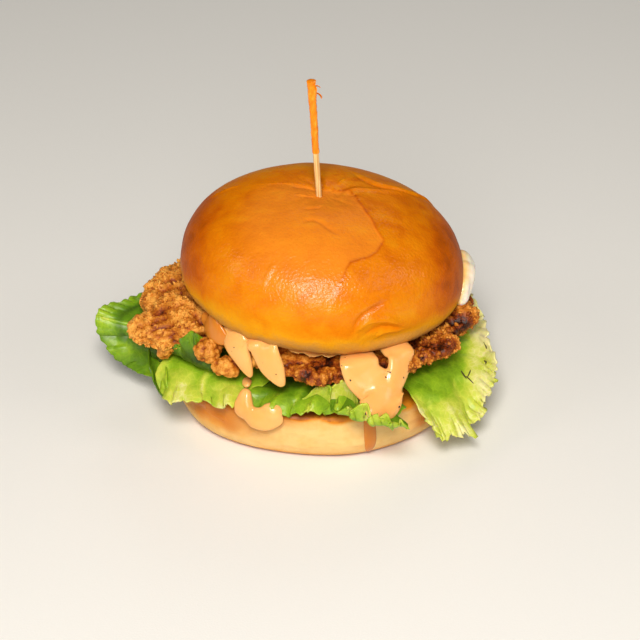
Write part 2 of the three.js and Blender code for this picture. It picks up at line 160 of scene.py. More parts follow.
# Each leaf is a net of points, in rows from its root under the fillet to its rim:
# name, CAD node, green tone, ruffle height, ruffle length, frill height and rib column, then the net.
LEAVES = [
    ("leaf_left", "lettuce_left", 0.32, 0.7, 30, 0.5, 5.2, [
        [(-1, 22, 26), (-12, 20, 26), (-20, 15, 26), (-26, 10, 26), (-29, 6, 26), (-31, 1, 26),
         (-31, -3, 26), (-30, -7, 25.5), (-27, -11, 25)],
        [(-2, 44, 26.5), (-20, 40, 27), (-35, 31, 27), (-46, 23, 28), (-53, 14, 28), (-56, 6, 27),
         (-55, -1, 25.5), (-51, -8, 24.5), (-45, -14, 24)],
        [(-1, 54, 29), (-26, 49, 29.5), (-45, 37, 29.5), (-57, 25, 30), (-67, 14, 30.5), (-74, 6, 28.5),
         (-71, 1, 23.5), (-65, -6, 20), (-57, -14, 19)],
        [(0, 59, 31), (-29, 54, 31), (-49, 42, 31), (-64, 27, 32), (-76, 14, 34), (-88, 8, 32),
         (-85, 1, 21), (-76, -4, 13), (-66, -13, 11)],
    ]),
    ("leaf_front_left", "lettuce_front_left", 0.7, 1.1, 17, 1.2, 2.4, [
        [(-28, -8, 28), (-26, -12, 28), (-24, -16, 28), (-20, -20, 28), (-15, -22, 28), (-9, -24, 28)],
        [(-50, -12, 27), (-46, -18, 27), (-40, -22, 27), (-33, -28, 27), (-25, -31, 27.5), (-16, -33, 28)],
        [(-60, -19, 25.5), (-55, -24, 25), (-47, -28, 24.5), (-38, -34, 25), (-30, -36, 25.5),
         (-21, -38, 26)],
        [(-64, -28, 19), (-57, -38, 18.5), (-49, -37.5, 21), (-39, -43, 21.5), (-30, -44, 22.5),
         (-24, -41, 24)],
    ]),
    ("leaf_front", "lettuce_front", 0.5, 2.0, 12, 1.2, 1.4, [
        [(-10, -20, 26), (-4, -22, 26), (2, -23, 26), (8, -23, 26), (14, -22, 26), (20, -20, 26)],
        [(-19, -34, 26), (-8, -36, 26.5), (2, -36, 27), (12, -36, 28), (20, -38, 27), (28, -36, 26)],
        [(-25, -40, 25.5), (-13, -44, 26), (-1, -45.5, 26.5), (10, -46, 28), (20, -49, 26.5),
         (31, -47, 26)],
        [(-27, -43, 23.5), (-14, -48.5, 23), (-2, -50.5, 23), (10, -52, 23.5), (22, -54.5, 23.5),
         (34, -53.5, 24)],
    ]),
    ("leaf_right", "lettuce_right", 0.78, 1.3, 30, 1.4, 30, [
        [(16, -24, 28), (22, -20, 28), (27, -14, 28), (30, -7, 28), (31, 0, 28), (30, 8, 28), (26, 16, 28),
         (18, 24, 28), (6, 30, 28)],
        [(32, -38, 27), (40, -34, 27), (47, -27, 27), (51, -17, 27.5), (53, -5, 28), (51, 8, 28),
         (44, 24, 29), (30, 38, 29), (10, 46, 29)],
        [(36, -45, 25), (44, -43, 22), (53, -36, 20), (58, -25, 23), (61, -11, 27), (60, 5, 29),
         (53, 28, 31), (37, 45, 32), (13, 53, 33)],
        [(40, -51, 20), (49, -51, 13), (61, -44, 11.5), (66, -33, 19), (69, -20, 28), (66, 2, 31.5),
         (59, 30, 34), (42, 50, 34.5), (15, 58, 35)],
    ]),
]
PALE_LEAF = "leaf_right"  # paler towards the back
FOLDED_LEAF = "leaf_left"
# Folded bits of leaf tucked in at the left and along the front, with no CAD node of their own.
CURLS = [
    ("curl_band", None, 0.3, 1.2, 7, 1.0, 1.0, [
        [(-54, -14, 29), (-50, -16, 29), (-47, -18, 29), (-43, -20, 29), (-39, -22, 29)],
        [(-57, -21, 30), (-53.5, -24, 30), (-49, -27, 30), (-45, -30, 30), (-40.5, -32, 30)],
        [(-57, -23, 34), (-54, -26, 36), (-49.5, -29, 38.5), (-45, -31.5, 39), (-41, -33.5, 36)],
        [(-56.5, -22, 36), (-54, -25, 40), (-49.5, -28, 44.5), (-45, -30.5, 46), (-41.5, -33, 40)],
    ]),
    ("curl_fold", None, 0.52, 0.4, 11, 0.4, 1.5, [
        [(-66, -13, 28), (-66.5, -20, 25), (-65, -27, 22), (-61, -33, 19)],
        [(-65, -14, 24.5), (-65, -21, 21.5), (-63, -28, 18.5), (-59.5, -33.5, 17.5)],
        [(-61.5, -15, 24), (-61, -22, 21), (-59.5, -29, 18.5), (-58, -34, 17.5)],
        [(-59.5, -16, 28), (-58.5, -23, 25.5), (-57, -30, 22.5), (-56.5, -35, 19)],
    ]),
    ("curl_front", None, 0.72, 1.2, 11, 1.0, 2.0, [
        [(-9, -38, 25.5), (-2, -39, 26), (6, -40, 26), (13, -42, 25.5), (19, -45, 24.5)],
        [(-9, -41.5, 24), (-2, -43, 24), (6, -44, 24), (13, -46, 23.5), (19, -49, 23)],
        [(-9, -44, 24.5), (-2, -46, 25), (6, -47.5, 25), (13, -50, 24.5), (19, -53, 23.5)],
        [(-8, -44, 27.5), (-1, -46, 31), (7, -47.5, 34.5), (14, -50.5, 33), (20, -55, 28)],
    ]),
    ("curl_rim", None, 0.62, 1.7, 7.0, 1.4, 2.0, [
        [(5, -45, 27.5), (11, -47, 27.5), (18, -49, 27.5), (24, -51, 27.5), (27.5, -54, 27.3),
         (29.5, -57, 27)],
        [(5, -51, 25.5), (11.5, -54, 25.5), (18, -57, 25.5), (24, -59, 26), (29, -60.5, 26.4),
         (32.5, -61, 26.2)],
        [(5.5, -54, 26.5), (12, -58.5, 26.5), (18.5, -62.5, 26.5), (24.5, -65, 27), (30, -66, 27.2),
         (35, -64.5, 26.8)],
        [(6, -55, 32), (12.5, -60, 33), (19, -64, 33), (25, -66.8, 33), (30.5, -68, 32), (35.5, -66, 29.2)],
    ]),
    ("curl_deep", None, 0.3, 0.6, 9, 0.5, 1.0, [
        [(-52, -11, 37), (-49, -15, 34.5), (-46, -19, 31), (-42, -24, 28.5)],
        [(-50, -13, 35), (-47, -17, 32.5), (-44, -21.5, 29), (-40, -27, 27)],
        [(-48, -16, 33), (-45, -20, 30.5), (-42, -25, 27.5), (-38, -30, 26.5)],
        [(-46, -18, 33.5), (-43, -22, 31), (-40, -27.5, 28.5), (-36, -32, 27.5)],
    ]),
]
# How much shorter a leaf is at its two side edges, and the power that it falls off by.
LEAF_TAPER = (0.16, 10)
CURL_TAPER = (0.5, 4)
# Bits of dried herb on the right leaf: a path as seen from above, and its thickness.
HERBS = [
    ([(55.7, -24.6), (56.6, -26), (57.7, -27.4)], 0.32),
    ([(59.4, -24), (58.9, -25.4), (58.2, -26.8)], 0.28),
    ([(57.6, -26.5), (58.8, -27.7), (60.4, -29.2)], 0.24),
    ([(65.2, -12), (65.9, -12.8), (66.2, -13.8)], 0.4),
    ([(65, -19), (65.6, -19.8), (65.7, -20.8)], 0.36),
]

RUN_BLUNTNESS = 0.55  # of a run's ends; 1 is a plain taper
RUN_SQUARENESS = 0.85  # of a run's section; 1 is a plain ellipse
# Sauce runs: azimuth in degrees, radius, height, half width, half depth at each station.
SAUCE_RUNS = [
    [(218, 35, 47.6, 4.6, 1), (222, 41, 48.6, 5.4, 1.2), (225.5, 45.5, 49.4, 6, 1.6),
     (228.8, 47.7, 48, 6, 1.8), (231.8, 48.8, 45.4, 5.4, 2), (234.4, 49.3, 42.4, 4.4, 2),
     (237, 49.5, 38.6, 3.6, 1.8), (239.6, 49.5, 34.4, 2.4, 1.4)],
    [(239, 34, 47.2, 5, 1), (241, 40, 48, 6, 1.2), (243.2, 44.8, 49, 6.4, 1.6),
     (245.3, 47.8, 48.4, 6.2, 1.7), (247.2, 49, 45.8, 5.6, 1.9), (249.4, 49.6, 42.6, 5.4, 2),
     (252, 49.9, 38.8, 4.8, 2.1), (255, 50, 34, 3, 1.8)],
    [(291.5, 38, 43.8, 8, 1.2), (289.4, 45, 44.4, 8.4, 1.6), (288, 50.5, 44.6, 8.4, 2),
     (288.1, 52.3, 41, 7.2, 2.4), (290.3, 54.5, 38.4, 7.4, 2.4), (293, 57, 35.9, 8.2, 2.6),
     (293.6, 60, 33, 10, 2.8), (295, 63, 30.4, 10.6, 3), (297.1, 64.8, 27.6, 8.2, 2.6)],
    [(310, 36, 43.4, 6.4, 1.2), (308.5, 44, 44.4, 6.4, 1.6), (306.8, 51, 44.6, 6.2, 1.8),
     (305.2, 53.8, 42.4, 5.4, 2), (302, 56.4, 38.6, 5.2, 2.2), (298.4, 59, 35.6, 6, 2.6)],
]
# Thin sauce that has run into the breading and down the heel.
THIN_SAUCE = [
    [(205, 40, 49, 3, 0.6), (210, 47, 49.6, 4.6, 1.2), (215.5, 49.4, 48.6, 5, 1.3),
     (221, 49.6, 47, 4.4, 1.3), (226, 48.6, 45.5, 3.4, 1)],
    [(292.5, 51, 22, 2.0, 0.8), (292.6, 51.3, 18, 2.3, 0.9), (292.8, 52.1, 12, 2.5, 0.9),
     (293, 51.9, 7, 2.5, 0.9), (293, 50.6, 3, 2.2, 0.8)],
]
# The thin layer between the fillet and the crown.
SAUCE_LAYER = {"radius": 41.5, "half": 0.85, "power": 2.4, "below_crown": 1.2}
# Sauce that has dripped on the heel, and the drop above it.
HEEL_SAUCE = [
    [(238, 50.5, 29.5, 2.8, 2), (238.2, 52.4, 26, 3.4, 2.2), (238.6, 53.8, 22.6, 4, 2.2),
     (239.5, 54, 20, 3.6, 1.8), (240.4, 53.6, 18.2, 2.4, 1.2)],
    [(237.5, 53.6, 21.5, 3, 1.6), (243, 54, 20, 4.2, 1.8), (249, 53.2, 19.8, 4.6, 1.7),
     (256, 51.8, 20.4, 3, 1.2)],
    [(246.5, 53, 20.6, 4, 2), (250.5, 51.8, 22.6, 4.2, 2.2), (253.5, 49.6, 25, 3, 1.8)],
    [(231, 43, 28.5, 1.6, 1), (233, 45, 27.8, 2, 1.2), (236, 47.5, 27.8, 1.7, 1)],
]
CREAM = [(22, 46, 46.4, 3, 1.2), (18, 52.5, 48.5, 3.6, 2.2), (13, 57, 51.5, 4.4, 3),
         (6, 58.2, 54.5, 4, 3.2), (358, 57.6, 51, 4.6, 3.2), (350, 56, 46.5, 3.6, 2.6)]

STICK = {"radius": 1.15, "length": 100.0, "top": (-2.3, 0, 137.8), "entry": (0.6, 0, 88.3), "point": 9.0}
FILM = {"length": 30.0, "radius": 1.34, "mouth": 1.85, "flare": 10.0}

# Curled shreds of film: distance down the stick, heading, turns, size, width and phase.
FILM_CURLS = [
    (1.6, (1, -0.2, 0.35), 1.2, 2.1, 1.4, 0.4), (3.0, (1, 0.3, 0.5), 0.8, 1.8, 1.2, 1.4),
    (2.2, (0.8, -0.6, -0.2), 1.3, 1.4, 1.1, 2.2), (4.8, (1, 0.1, -0.15), 0.6, 1.5, 1.0, -0.6),
    (8.6, (1, -0.3, -0.3), 0.9, 1.3, 1.2, 0.9), (0.5, (-0.4, -0.6, 0.5), 0.7, 0.8, 0.9, 0.2),
    (16.2, (-1, -0.2, -0.2), 0.7, 0.9, 1.1, 0.6), (26.4, (-1, -0.1, 0.1), 0.6, 0.5, 0.7, 0.3),
]

FLOOR_SIZE = 12.0  # metres
CAMERA = {"target": (1.0, 0.0, 33.0), "distance": 870.0, "elevation": 32.5, "lens": 123.75}

# ---------------------------------------------------------------- numbers


def linear(code):
    """An sRGB hex colour as the linear colour that a shader takes."""
    parts = [int(code[i : i + 2], 16) / 255 for i in (1, 3, 5)]
    return tuple(p / 12.92 if p <= 0.04045 else ((p + 0.055) / 1.055) ** 2.4 for p in parts) + (1.0,)


def smooth(value, low, high):
    """0 below low and 1 above high, with a smooth rise between."""
    share = np.clip((value - low) / (high - low), 0, 1)
    return share * share * (3 - 2 * share)


def mix(low, high, share):
    return low + (high - low) * share


def lobe(azimuth, centre, half_width):
    """1 at the centre azimuth in degrees, falling to 1/e at the half width."""
    fall = 1 - math.cos(math.radians(half_width))
    return np.exp((np.cos(azimuth - math.radians(centre)) - 1) / fall)


def lobed(azimuth, radius, lobes):
    """A round outline with lobes: azimuth, half width and reach of each."""
    return radius + sum(reach * lobe(azimuth, centre, width) for centre, width, reach in lobes)


def waves(azimuth, terms):
    """Waves round an outline: count, depth and phase of each."""
    return sum(depth * np.sin(count * azimuth + phase) for count, depth, phase in terms)


def lattice(cells, seed):
    """A fixed pseudo-random number from 0 to 1 for every whole-number cell."""
    x, y, z = (cells[..., i] for i in range(3))
    code = x * 374761393 + y * 668265263 + z * 2246822519 + seed * 3266489917
    code = (code ^ (code >> 13)) * 1274126177
    return ((code ^ (code >> 16)) & 0xFFFFFF) / 0xFFFFFF


def cloud(points, size, seed):
    """Smooth noise from -1 to 1 whose features are about size millimetres."""
    spots = np.asarray(points, float) / size
    cells = np.floor(spots).astype(np.int64)
    part = spots - cells
    part = part * part * (3 - 2 * part)
    total = np.zeros(spots.shape[:-1])
    for corner in itertools.product((0, 1), repeat=3):
        weight = np.prod(np.where(np.array(corner) == 1, part, 1 - part), axis=-1)
        total += weight * lattice(cells + np.array(corner), seed)
    return 2 * total - 1


def clods(points, size, seed):
    """Rounded lumps about size millimetres across with creases between: 0 in a crease, 1 on a lump."""
    spots = np.asarray(points, float) / size
    cells = np.floor(spots).astype(np.int64)
    nearest = np.full(spots.shape[:-1], 9.0)
    for step in itertools.product((-1, 0, 1), repeat=3):
        cell = cells + np.array(step)
        jitter = np.stack([lattice(cell, seed + i) for i in range(3)], axis=-1)
        gap = cell + 0.1 + 0.8 * jitter - spots
        nearest = np.minimum(nearest, np.sum(gap * gap, axis=-1))
    return 1 - np.clip(nearest / 0.75, 0, 1)


def spline(stations, shares):
    """Rows of a smooth curve through the stations, at shares of its length from 0 to 1."""
    knots = np.asarray(stations, float)
    knots = np.vstack([2 * knots[0] - knots[1], knots, 2 * knots[-1] - knots[-2]])
    spans = len(knots) - 3
    spot = np.clip(np.asarray(shares, float) * spans, 0, spans - 1e-9)
    first = spot.astype(int)
    t = (spot - first)[..., None]
    a, b, c, d = (knots[first + i] for i in range(4))
    return 0.5 * (2 * b + (c - a) * t + (2 * a - 5 * b + 4 * c - d) * t**2 + (3 * b - a - 3 * c + d) * t**3)


def path_distance(points, path):
    """Distance of every point from a path of straight runs, and which side it lies on from above."""
    best = np.full(len(points), 1e9)
    side = np.zeros(len(points))
    path = np.asarray(path, float)
    for start, end in zip(path[:-1], path[1:]):
        run = end - start
        along = np.clip((points - start) @ run / (run @ run), 0, 1)
        gap = points - start - along[:, None] * run
        distance = np.linalg.norm(gap, axis=1)
        closer = distance < best
        best = np.where(closer, distance, best)
        side = np.where(closer, np.sign(run[0] * gap[:, 1] - run[1] * gap[:, 0]), side)
    return best, side


def stroke(points, path, width):
    """1 on a smooth path, fading off over width; it thins out towards both ends."""
    fine = spline(path, np.linspace(0, 1, 24))
    best = np.full(len(points), 1e9)
    share = np.zeros(len(points))
    for i, (start, end) in enumerate(zip(fine[:-1], fine[1:])):
        run = end - start
        along = np.clip((points - start) @ run / (run @ run), 0, 1)
        distance = np.linalg.norm(points - start - along[:, None] * run, axis=1)
        closer = distance < best
        best = np.where(closer, distance, best)
        share = np.where(closer, (i + along) / (len(fine) - 1), share)
    ends = smooth(share, 0, 0.22) * (1 - smooth(share, 0.78, 1))
    return np.exp(-((best / width) ** 2)) * mix(0.15, 1, ends)


# ---------------------------------------------------------------- meshes


def shell_faces(rings, sides):
    """Faces of a closed shell: a lower pole, rings counted upwards, an upper pole."""
    ring = 1 + np.arange(rings - 1)[:, None] * sides
    here = np.arange(sides)[None, :]
    ahead = (here + 1) % sides
    quads = np.stack([ring + here, ring + ahead, ring + sides + ahead, ring + sides + here], axis=-1)
    last = 1 + (rings - 1) * sides
    fans = [[0, 1 + (i + 1) % sides, 1 + i] for i in range(sides)]
    fans += [[last + sides, last + i, last + (i + 1) % sides] for i in range(sides)]
    return quads.reshape(-1, 4).tolist() + fans


def turned(profile, sides):
    """A profile of (radius share, height) turned about +Z: shares, heights, azimuths and faces."""
    profile = np.asarray(profile, float)
    turn = np.arange(sides) * 2 * math.pi / sides
    rings = len(profile) - 2
    share = np.concatenate([[0], np.repeat(profile[1:-1, 0], sides), [0]])
    height = np.concatenate([[profile[0, 1]], np.repeat(profile[1:-1, 1], sides), [profile[-1, 1]]])
    azimuth = np.concatenate([[0], np.tile(turn, rings), [0]])
    return share, height, azimuth, shell_faces(rings, sides)


def slab_profile(rings, power):
    """Superellipse section of unit radius and unit half height, from the lower pole to the upper."""
    angle = np.linspace(-math.pi / 2, math.pi / 2, rings)
    radius = np.abs(np.cos(angle)) ** (2 / power)
    radius[0] = radius[-1] = 0
    height = np.sign(angle) * np.abs(np.sin(angle)) ** (2 / power)
    return np.stack([radius, height], axis=1)


def make_mesh(name, points, faces, outwards=False):
    """A mesh from points in millimetres; outwards turns every face out."""
    mesh = bpy.data.meshes.new(name)
    mesh.from_pydata((np.asarray(points) * MM).tolist(), [], faces)
    if outwards:
        shape = bmesh.new()
        shape.from_mesh(mesh)
        bmesh.ops.recalc_face_normals(shape, faces=shape.faces)
        shape.to_mesh(mesh)
        shape.free()
    mesh.update()
    return mesh


def spots_of(mesh):
    """The mesh's points in millimetres."""
    points = np.empty(len(mesh.vertices) * 3)
    mesh.vertices.foreach_get("co", points)
    return points.reshape(-1, 3) / MM


def normals_of(mesh):
    normals = np.empty(len(mesh.vertices) * 3)
    mesh.vertex_normals.foreach_get("vector", normals)
    return normals.reshape(-1, 3)


def move_spots(mesh, points):
    mesh.vertices.foreach_set("co", (points * MM).ravel())
    mesh.update()


def paint(mesh, name, values):
    """Stores a number at every point for the material to read."""
    layer = mesh.attributes.new(name, "FLOAT", "POINT")
    layer.data.foreach_set("value", np.asarray(values, np.float32))


def unit(vectors):
    return vectors / np.maximum(np.linalg.norm(vectors, axis=-1, keepdims=True), 1e-9)


def grid_normals(grid):
    return unit(np.cross(np.gradient(grid, axis=1), np.gradient(grid, axis=0)))


def sheet(grid, thickness):
    """A thin closed sheet from a grid of points: both faces of it and the edge round them."""
    rows, columns = grid.shape[:2]
    half = grid_normals(grid) * thickness / 2
    points = np.concatenate([(grid + half).reshape(-1, 3), (grid - half).reshape(-1, 3)])
    spot = np.arange(rows * columns).reshape(rows, columns)
    quads = np.stack([spot[:-1, :-1], spot[:-1, 1:], spot[1:, 1:], spot[1:, :-1]], axis=-1).reshape(-1, 4)
    under = quads[:, ::-1] + rows * columns
    rim = np.concatenate([spot[0, :], spot[1:, -1], spot[-1, -2::-1], spot[-2:0:-1, 0]])
    ahead = np.roll(rim, -1)
    edge = np.stack([rim, rim + rows * columns, ahead + rows * columns, ahead], axis=1)
    return points, np.concatenate([quads, under, edge]).tolist()


def tongue(stations, rings, sides):
    """A rounded run of sauce through its stations, wide across and thin off the surface."""
    rows = np.asarray(stations, float)
    azimuth = np.radians(rows[:, 0])
    centres = np.stack([rows[:, 1] * np.cos(azimuth), rows[:, 1] * np.sin(azimuth), rows[:, 2]], axis=1)
    angle = np.linspace(0, math.pi, rings + 2)
    along = (1 - np.cos(angle)) / 2
    centre = spline(centres, along)
    girth = spline(rows[:, 3:5], along)
    ahead = spline(centres, np.clip(along + 1e-3, 0, 1))
    tangent = unit(np.gradient(ahead * 0.5 + centre * 0.5, axis=0))
    # a run that heads outwards lies on its back, and one that drops or goes round lies against the side
    away = np.hypot(centre[:, 0], centre[:, 1])
    heading = np.abs(tangent[:, 0] * centre[:, 0] + tangent[:, 1] * centre[:, 1]) / away
    lean = 1 - smooth(heading, 0.5, 0.9)[:, None]
    outwards = np.stack([centre[:, 0] / away, centre[:, 1] / away, 0.3 + 0 * away], axis=1) * lean
    outwards[:, 2] += 1 - lean[:, 0]
    sideways = unit(np.cross(outwards, tangent))
    off = np.cross(tangent, sideways)
    swell = np.sin(angle)[1:-1, None, None] ** RUN_BLUNTNESS
    turn = np.arange(sides) * 2 * math.pi / sides
    wide = np.sign(np.cos(turn)) * np.abs(np.cos(turn)) ** RUN_SQUARENESS
    high = np.sign(np.sin(turn)) * np.abs(np.sin(turn)) ** RUN_SQUARENESS
    across = sideways[1:-1, None] * wide[None, :, None] * girth[1:-1, None, :1]
    depth = off[1:-1, None] * high[None, :, None] * girth[1:-1, None, 1:]
    body = centre[1:-1, None] + swell * (across + depth)
    points = np.concatenate([centre[:1], body.reshape(-1, 3), centre[-1:]])
    return points, shell_faces(rings, sides)


def joined(shells):
    """Several shells of points and faces as one."""
    points, faces, count = [], [], 0
    for shell_points, shell in shells:
        points.append(shell_points)
        faces += [[i + count for i in face] for face in shell]
        count += len(shell_points)
    return np.concatenate(points), faces


def in_scene(name, data):
    """A new object in the scene."""
    thing = bpy.data.objects.new(name, data)
    bpy.context.scene.collection.objects.link(thing)
    return thing


def evaluated(blank):
    """The mesh that an object's modifiers make of it; the object itself is taken away."""
    graph = bpy.context.evaluated_depsgraph_get()
    result = bpy.data.meshes.new_from_object(blank.evaluated_get(graph), depsgraph=graph)
    bpy.data.objects.remove(blank)
    return result


def applied(mesh, modifiers):
    """The mesh with modifiers applied: each is a kind and its settings."""
    blank = in_scene("blank", mesh)
    for kind, settings in modifiers:
        modifier = blank.modifiers.new(kind.title(), kind)
        for key, value in settings.items():
            setattr(modifier, key, value)
    return evaluated(blank)


def add_piece(name, mesh, material, slot, *nodes):
    """Puts a finished mesh in the scene, riding on the burger, in place of the CAD nodes named."""
    mesh.shade_smooth()
    if material:
        mesh.materials.clear()
        mesh.materials.append(material)
    piece = in_scene(name, mesh)
    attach(piece, ROOT)
    if nodes:
        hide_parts(*nodes)
    return piece


# ---------------------------------------------------------------- nodes


def feed(tree, node, inputs):
    """Gives a node's sockets plain values, or links from other nodes."""
    for socket, term in inputs.items():
        if isinstance(term, bpy.types.NodeSocket):
            tree.links.new(term, node.inputs[socket])
        else:
            node.inputs[socket].default_value = term


def add_node(tree, kind, inputs=None, **settings):
    made = tree.nodes.new(kind)
    for key, value in settings.items():
        setattr(made, key, value)
    feed(tree, made, inputs or {})
    return made


def painted(tree, name):
    """A number painted on the mesh."""
    return add_node(tree, "ShaderNodeAttribute", attribute_name=name).outputs["Fac"]


def stretched(tree, place, scale):
    """Coordinates scaled along +Z, for a pattern that is longer or shorter that way."""
    return add_node(tree, "ShaderNodeMapping", {"Vector": place, "Scale": (1.0, 1.0, scale)}).outputs[0]


def noise(tree, place, size, detail, **more):
    """Noise from 0 to 1 whose features are about the given size in metres."""
    inputs = {"Vector": place, "Scale": 1 / size, "Detail": detail, **more}
    return add_node(tree, "ShaderNodeTexNoise", inputs).outputs["Fac"]


def remapped(tree, share, low, high, start=0.0, end=1.0):
    """A number that runs from start to end, made to run from low to high."""
    inputs = {"Value": share, "From Min": start, "From Max": end, "To Min": low, "To Max": high}
    return add_node(tree, "ShaderNodeMapRange", inputs).outputs[0]


def combined(tree, operation, first, second, **settings):
    """Two numbers put together by a math node."""
    inputs = {0: first, 1: second}
    return add_node(tree, "ShaderNodeMath", inputs, operation=operation, **settings).outputs[0]


def mixed(tree, share, first, second):
    """A colour between two."""
    return add_node(tree, "ShaderNodeMix", {0: share, 6: first, 7: second}, data_type="RGBA").outputs[2]


def ramped(tree, share, stops):
    """A colour from a ramp of stops: position and colour of each."""
    made = add_node(tree, "ShaderNodeValToRGB", {"Fac": share})
    ramp = made.color_ramp
    while len(ramp.elements) < len(stops):
        ramp.elements.new(0.5)
    for element, (position, colour) in zip(ramp.elements, stops):
        element.position = position
        element.color = tuple(colour)[:3] + (1.0,)
    return made.outputs[0]


def bumped(tree, height, strength, distance, under=None):
    """A normal bumped by up to distance metres, over the normal under it."""
    inputs = {"Height": height, "Strength": strength, "Distance": distance}
    if under is not None:
        inputs["Normal"] = under
    return add_node(tree, "ShaderNodeBump", inputs).outputs[0]


def start_material(name):
    """An empty material: the material, its tree, its shader and its object coordinates."""
    material = bpy.data.materials.new(name)
    material.use_nodes = True
    tree = material.node_tree
    tree.nodes.clear()
    shader = add_node(tree, "ShaderNodeBsdfPrincipled")
    add_node(tree, "ShaderNodeOutputMaterial", {"Surface": shader.outputs[0]})
    return material, tree, shader, add_node(tree, "ShaderNodeTexCoord").outputs["Object"]


# ---------------------------------------------------------------- finishes


def crust_finish(look):
    """Glazed brioche crust, brushed with egg and baked: satin gloss broken up by fine orange peel."""
    material, tree, shader, place = start_material("glazed_brioche_crust")
    patch = painted(tree, "patch")
    # cloudy browning about 9 mm across, and a fine freckle of 0.9 mm
    cloudy = remapped(tree, noise(tree, place, 0.009, 4.0, Distortion=0.6), -0.1, 0.1, 0.3, 0.7)
    freckle = remapped(tree, noise(tree, place, 0.0009, 2.0), -0.06, 0.06)
    tone = combined(tree, "ADD", combined(tree, "ADD", painted(tree, "tone"), cloudy), freckle)
    baked = ramped(tree, tone, [
        (0.0, look.rim_colour), (0.28, look.pale_crust), (0.55, look.golden_crust),
        (0.78, look.baked_crust), (1.0, look.dark_crust),
    ])
    # the matt patch only tints the skin, so its share is held down
    matt = mixed(tree, combined(tree, "MULTIPLY", patch, 0.45), baked, linear("#E8892A"))
    # orange peel of 1.1 mm, over soft wrinkles of 3.5 mm
    wrinkles = bumped(tree, noise(tree, place, 0.0035, 2.0), 0.5, 0.0003)
    bump = bumped(tree, noise(tree, place, 0.0011, 2.0), 1.0, 0.00026, wrinkles)
    # the egg glaze lies thick on top and thin at the rim and where the crust turns away
    facing = add_node(tree, "ShaderNodeLayerWeight", {"Blend": 0.5}).outputs["Facing"]
    glaze = combined(tree, "MULTIPLY", remapped(tree, facing, 0.9, 0.0, 0.2, 0.5), painted(tree, "glaze"))
    feed(tree, shader, {
        "Base Color": matt, "Roughness": remapped(tree, patch, 0.42, 0.55), "Normal": bump, "IOR": 1.4,
        "Specular IOR Level": 0.06, "Subsurface Weight": 0.04, "Subsurface Scale": 0.0015,
        "Subsurface Radius": (1.0, 0.45, 0.1), "Coat Weight": glaze, "Coat Roughness": 0.22,
        "Coat IOR": 1.4, "Coat Normal": bump,
    })
    return material


def heel_finish(look):
    """Soft bun crumb with a thin toasted skin: matt, pale, with browned and sauce-soaked places, and
    painted shade at its left end.
    """
    material, tree, shader, place = start_material("toasted_bun_crumb")
    soak = painted(tree, "soak")
    # streaky browning 5 mm across, crumb cells of 0.9 mm and soft level folds of 6 mm
    streak = remapped(tree, noise(tree, place, 0.005, 5.0, Roughness=0.6), -0.14, 0.14, 0.3, 0.7)
    crumb = ramped(tree, combined(tree, "ADD", painted(tree, "tone"), streak), [
        (0.0, look.crumb_colour), (0.4, linear("#E3AA55")), (0.7, linear("#DB8612")),
        (1.0, linear("#8A430F")),
    ])
    cells = noise(tree, place, 0.0009, 3.0)
    folds = bumped(tree, noise(tree, stretched(tree, place, 3.0), 0.006, 3.0), 0.8, 0.0006)
    feed(tree, shader, {
        "Base Color": mixed(tree, soak, crumb, linear("#C9741A")),
        "Roughness": remapped(tree, soak, 0.62, 0.25), "Normal": bumped(tree, cells, 0.5, 0.0002, folds),
        "IOR": 1.4, "Subsurface Weight": 0.25, "Subsurface Scale": 0.003,
        "Subsurface Radius": (1.0, 0.6, 0.3),
    })
    return material


def breading_finish(look, name, share_name):
    """Deep-fried flour breading: craggy, golden on its points, glossy and painted dark as shade in its
    creases.
    """
    material, tree, shader, place = start_material(name)
    # flour grit of 0.7 mm and frying patches of 8 mm
    grit = noise(tree, place, 0.0007, 3.0)
    speck = remapped(tree, grit, -0.16, 0.16, 0.3, 0.7)
    patch = remapped(tree, noise(tree, place, 0.008, 2.0), -0.12, 0.1, 0.3, 0.7)
    tone = combined(tree, "ADD", combined(tree, "ADD", painted(tree, share_name), speck), patch)
    colour = ramped(tree, tone, [
        (0.0, look.crease_shade_colour), (0.3, look.brown_colour), (0.6, look.golden_colour),
        (1.0, look.pale_colour),
    ])
    feed(tree, shader, {
        "Base Color": colour, "Roughness": remapped(tree, tone, 0.4, 0.62),
        "Normal": bumped(tree, grit, 0.8, 0.0003), "IOR": 1.46, "Specular IOR Level": 0.3,
        "Subsurface Weight": 0.06, "Subsurface Scale": 0.001,
    })
    return material


def leaf_finish(look):
    """Crisp green lettuce: waxy skin over a watery leaf, pale ribs, and deep green where shade is painted
    in folds and towards the root.
    """
    material, tree, shader, place = start_material("green_lettuce")
    # blotches of 6 mm and a netting of veins 2.2 mm apart
    blotch = remapped(tree, noise(tree, place, 0.006, 3.0), -0.08, 0.08, 0.3, 0.7)
    net = add_node(tree, "ShaderNodeTexVoronoi", {"Vector": place, "Scale": 1 / 0.0022},
                   feature="DISTANCE_TO_EDGE").outputs["Distance"]
    vein = remapped(tree, net, 0.06, 0.0, 0.0, 0.12)
    tone = combined(tree, "ADD", combined(tree, "ADD", painted(tree, "tone"), blotch), vein)
    colour = ramped(tree, tone, [
        (0.0, look.deep_leaf), (0.35, look.green_leaf), (0.6, look.fresh_leaf), (0.82, look.light_leaf),
        (1.0, look.rib_colour),
    ])
    feed(tree, shader, {
        "Base Color": colour, "Roughness": 0.36, "Normal": bumped(tree, net, 0.4, 0.0002), "IOR": 1.42,
        "Specular IOR Level": 0.4, "Subsurface Weight": 0.35, "Subsurface Scale": 0.0025,
        "Subsurface Radius": (0.6, 1.0, 0.15),
    })
    return material


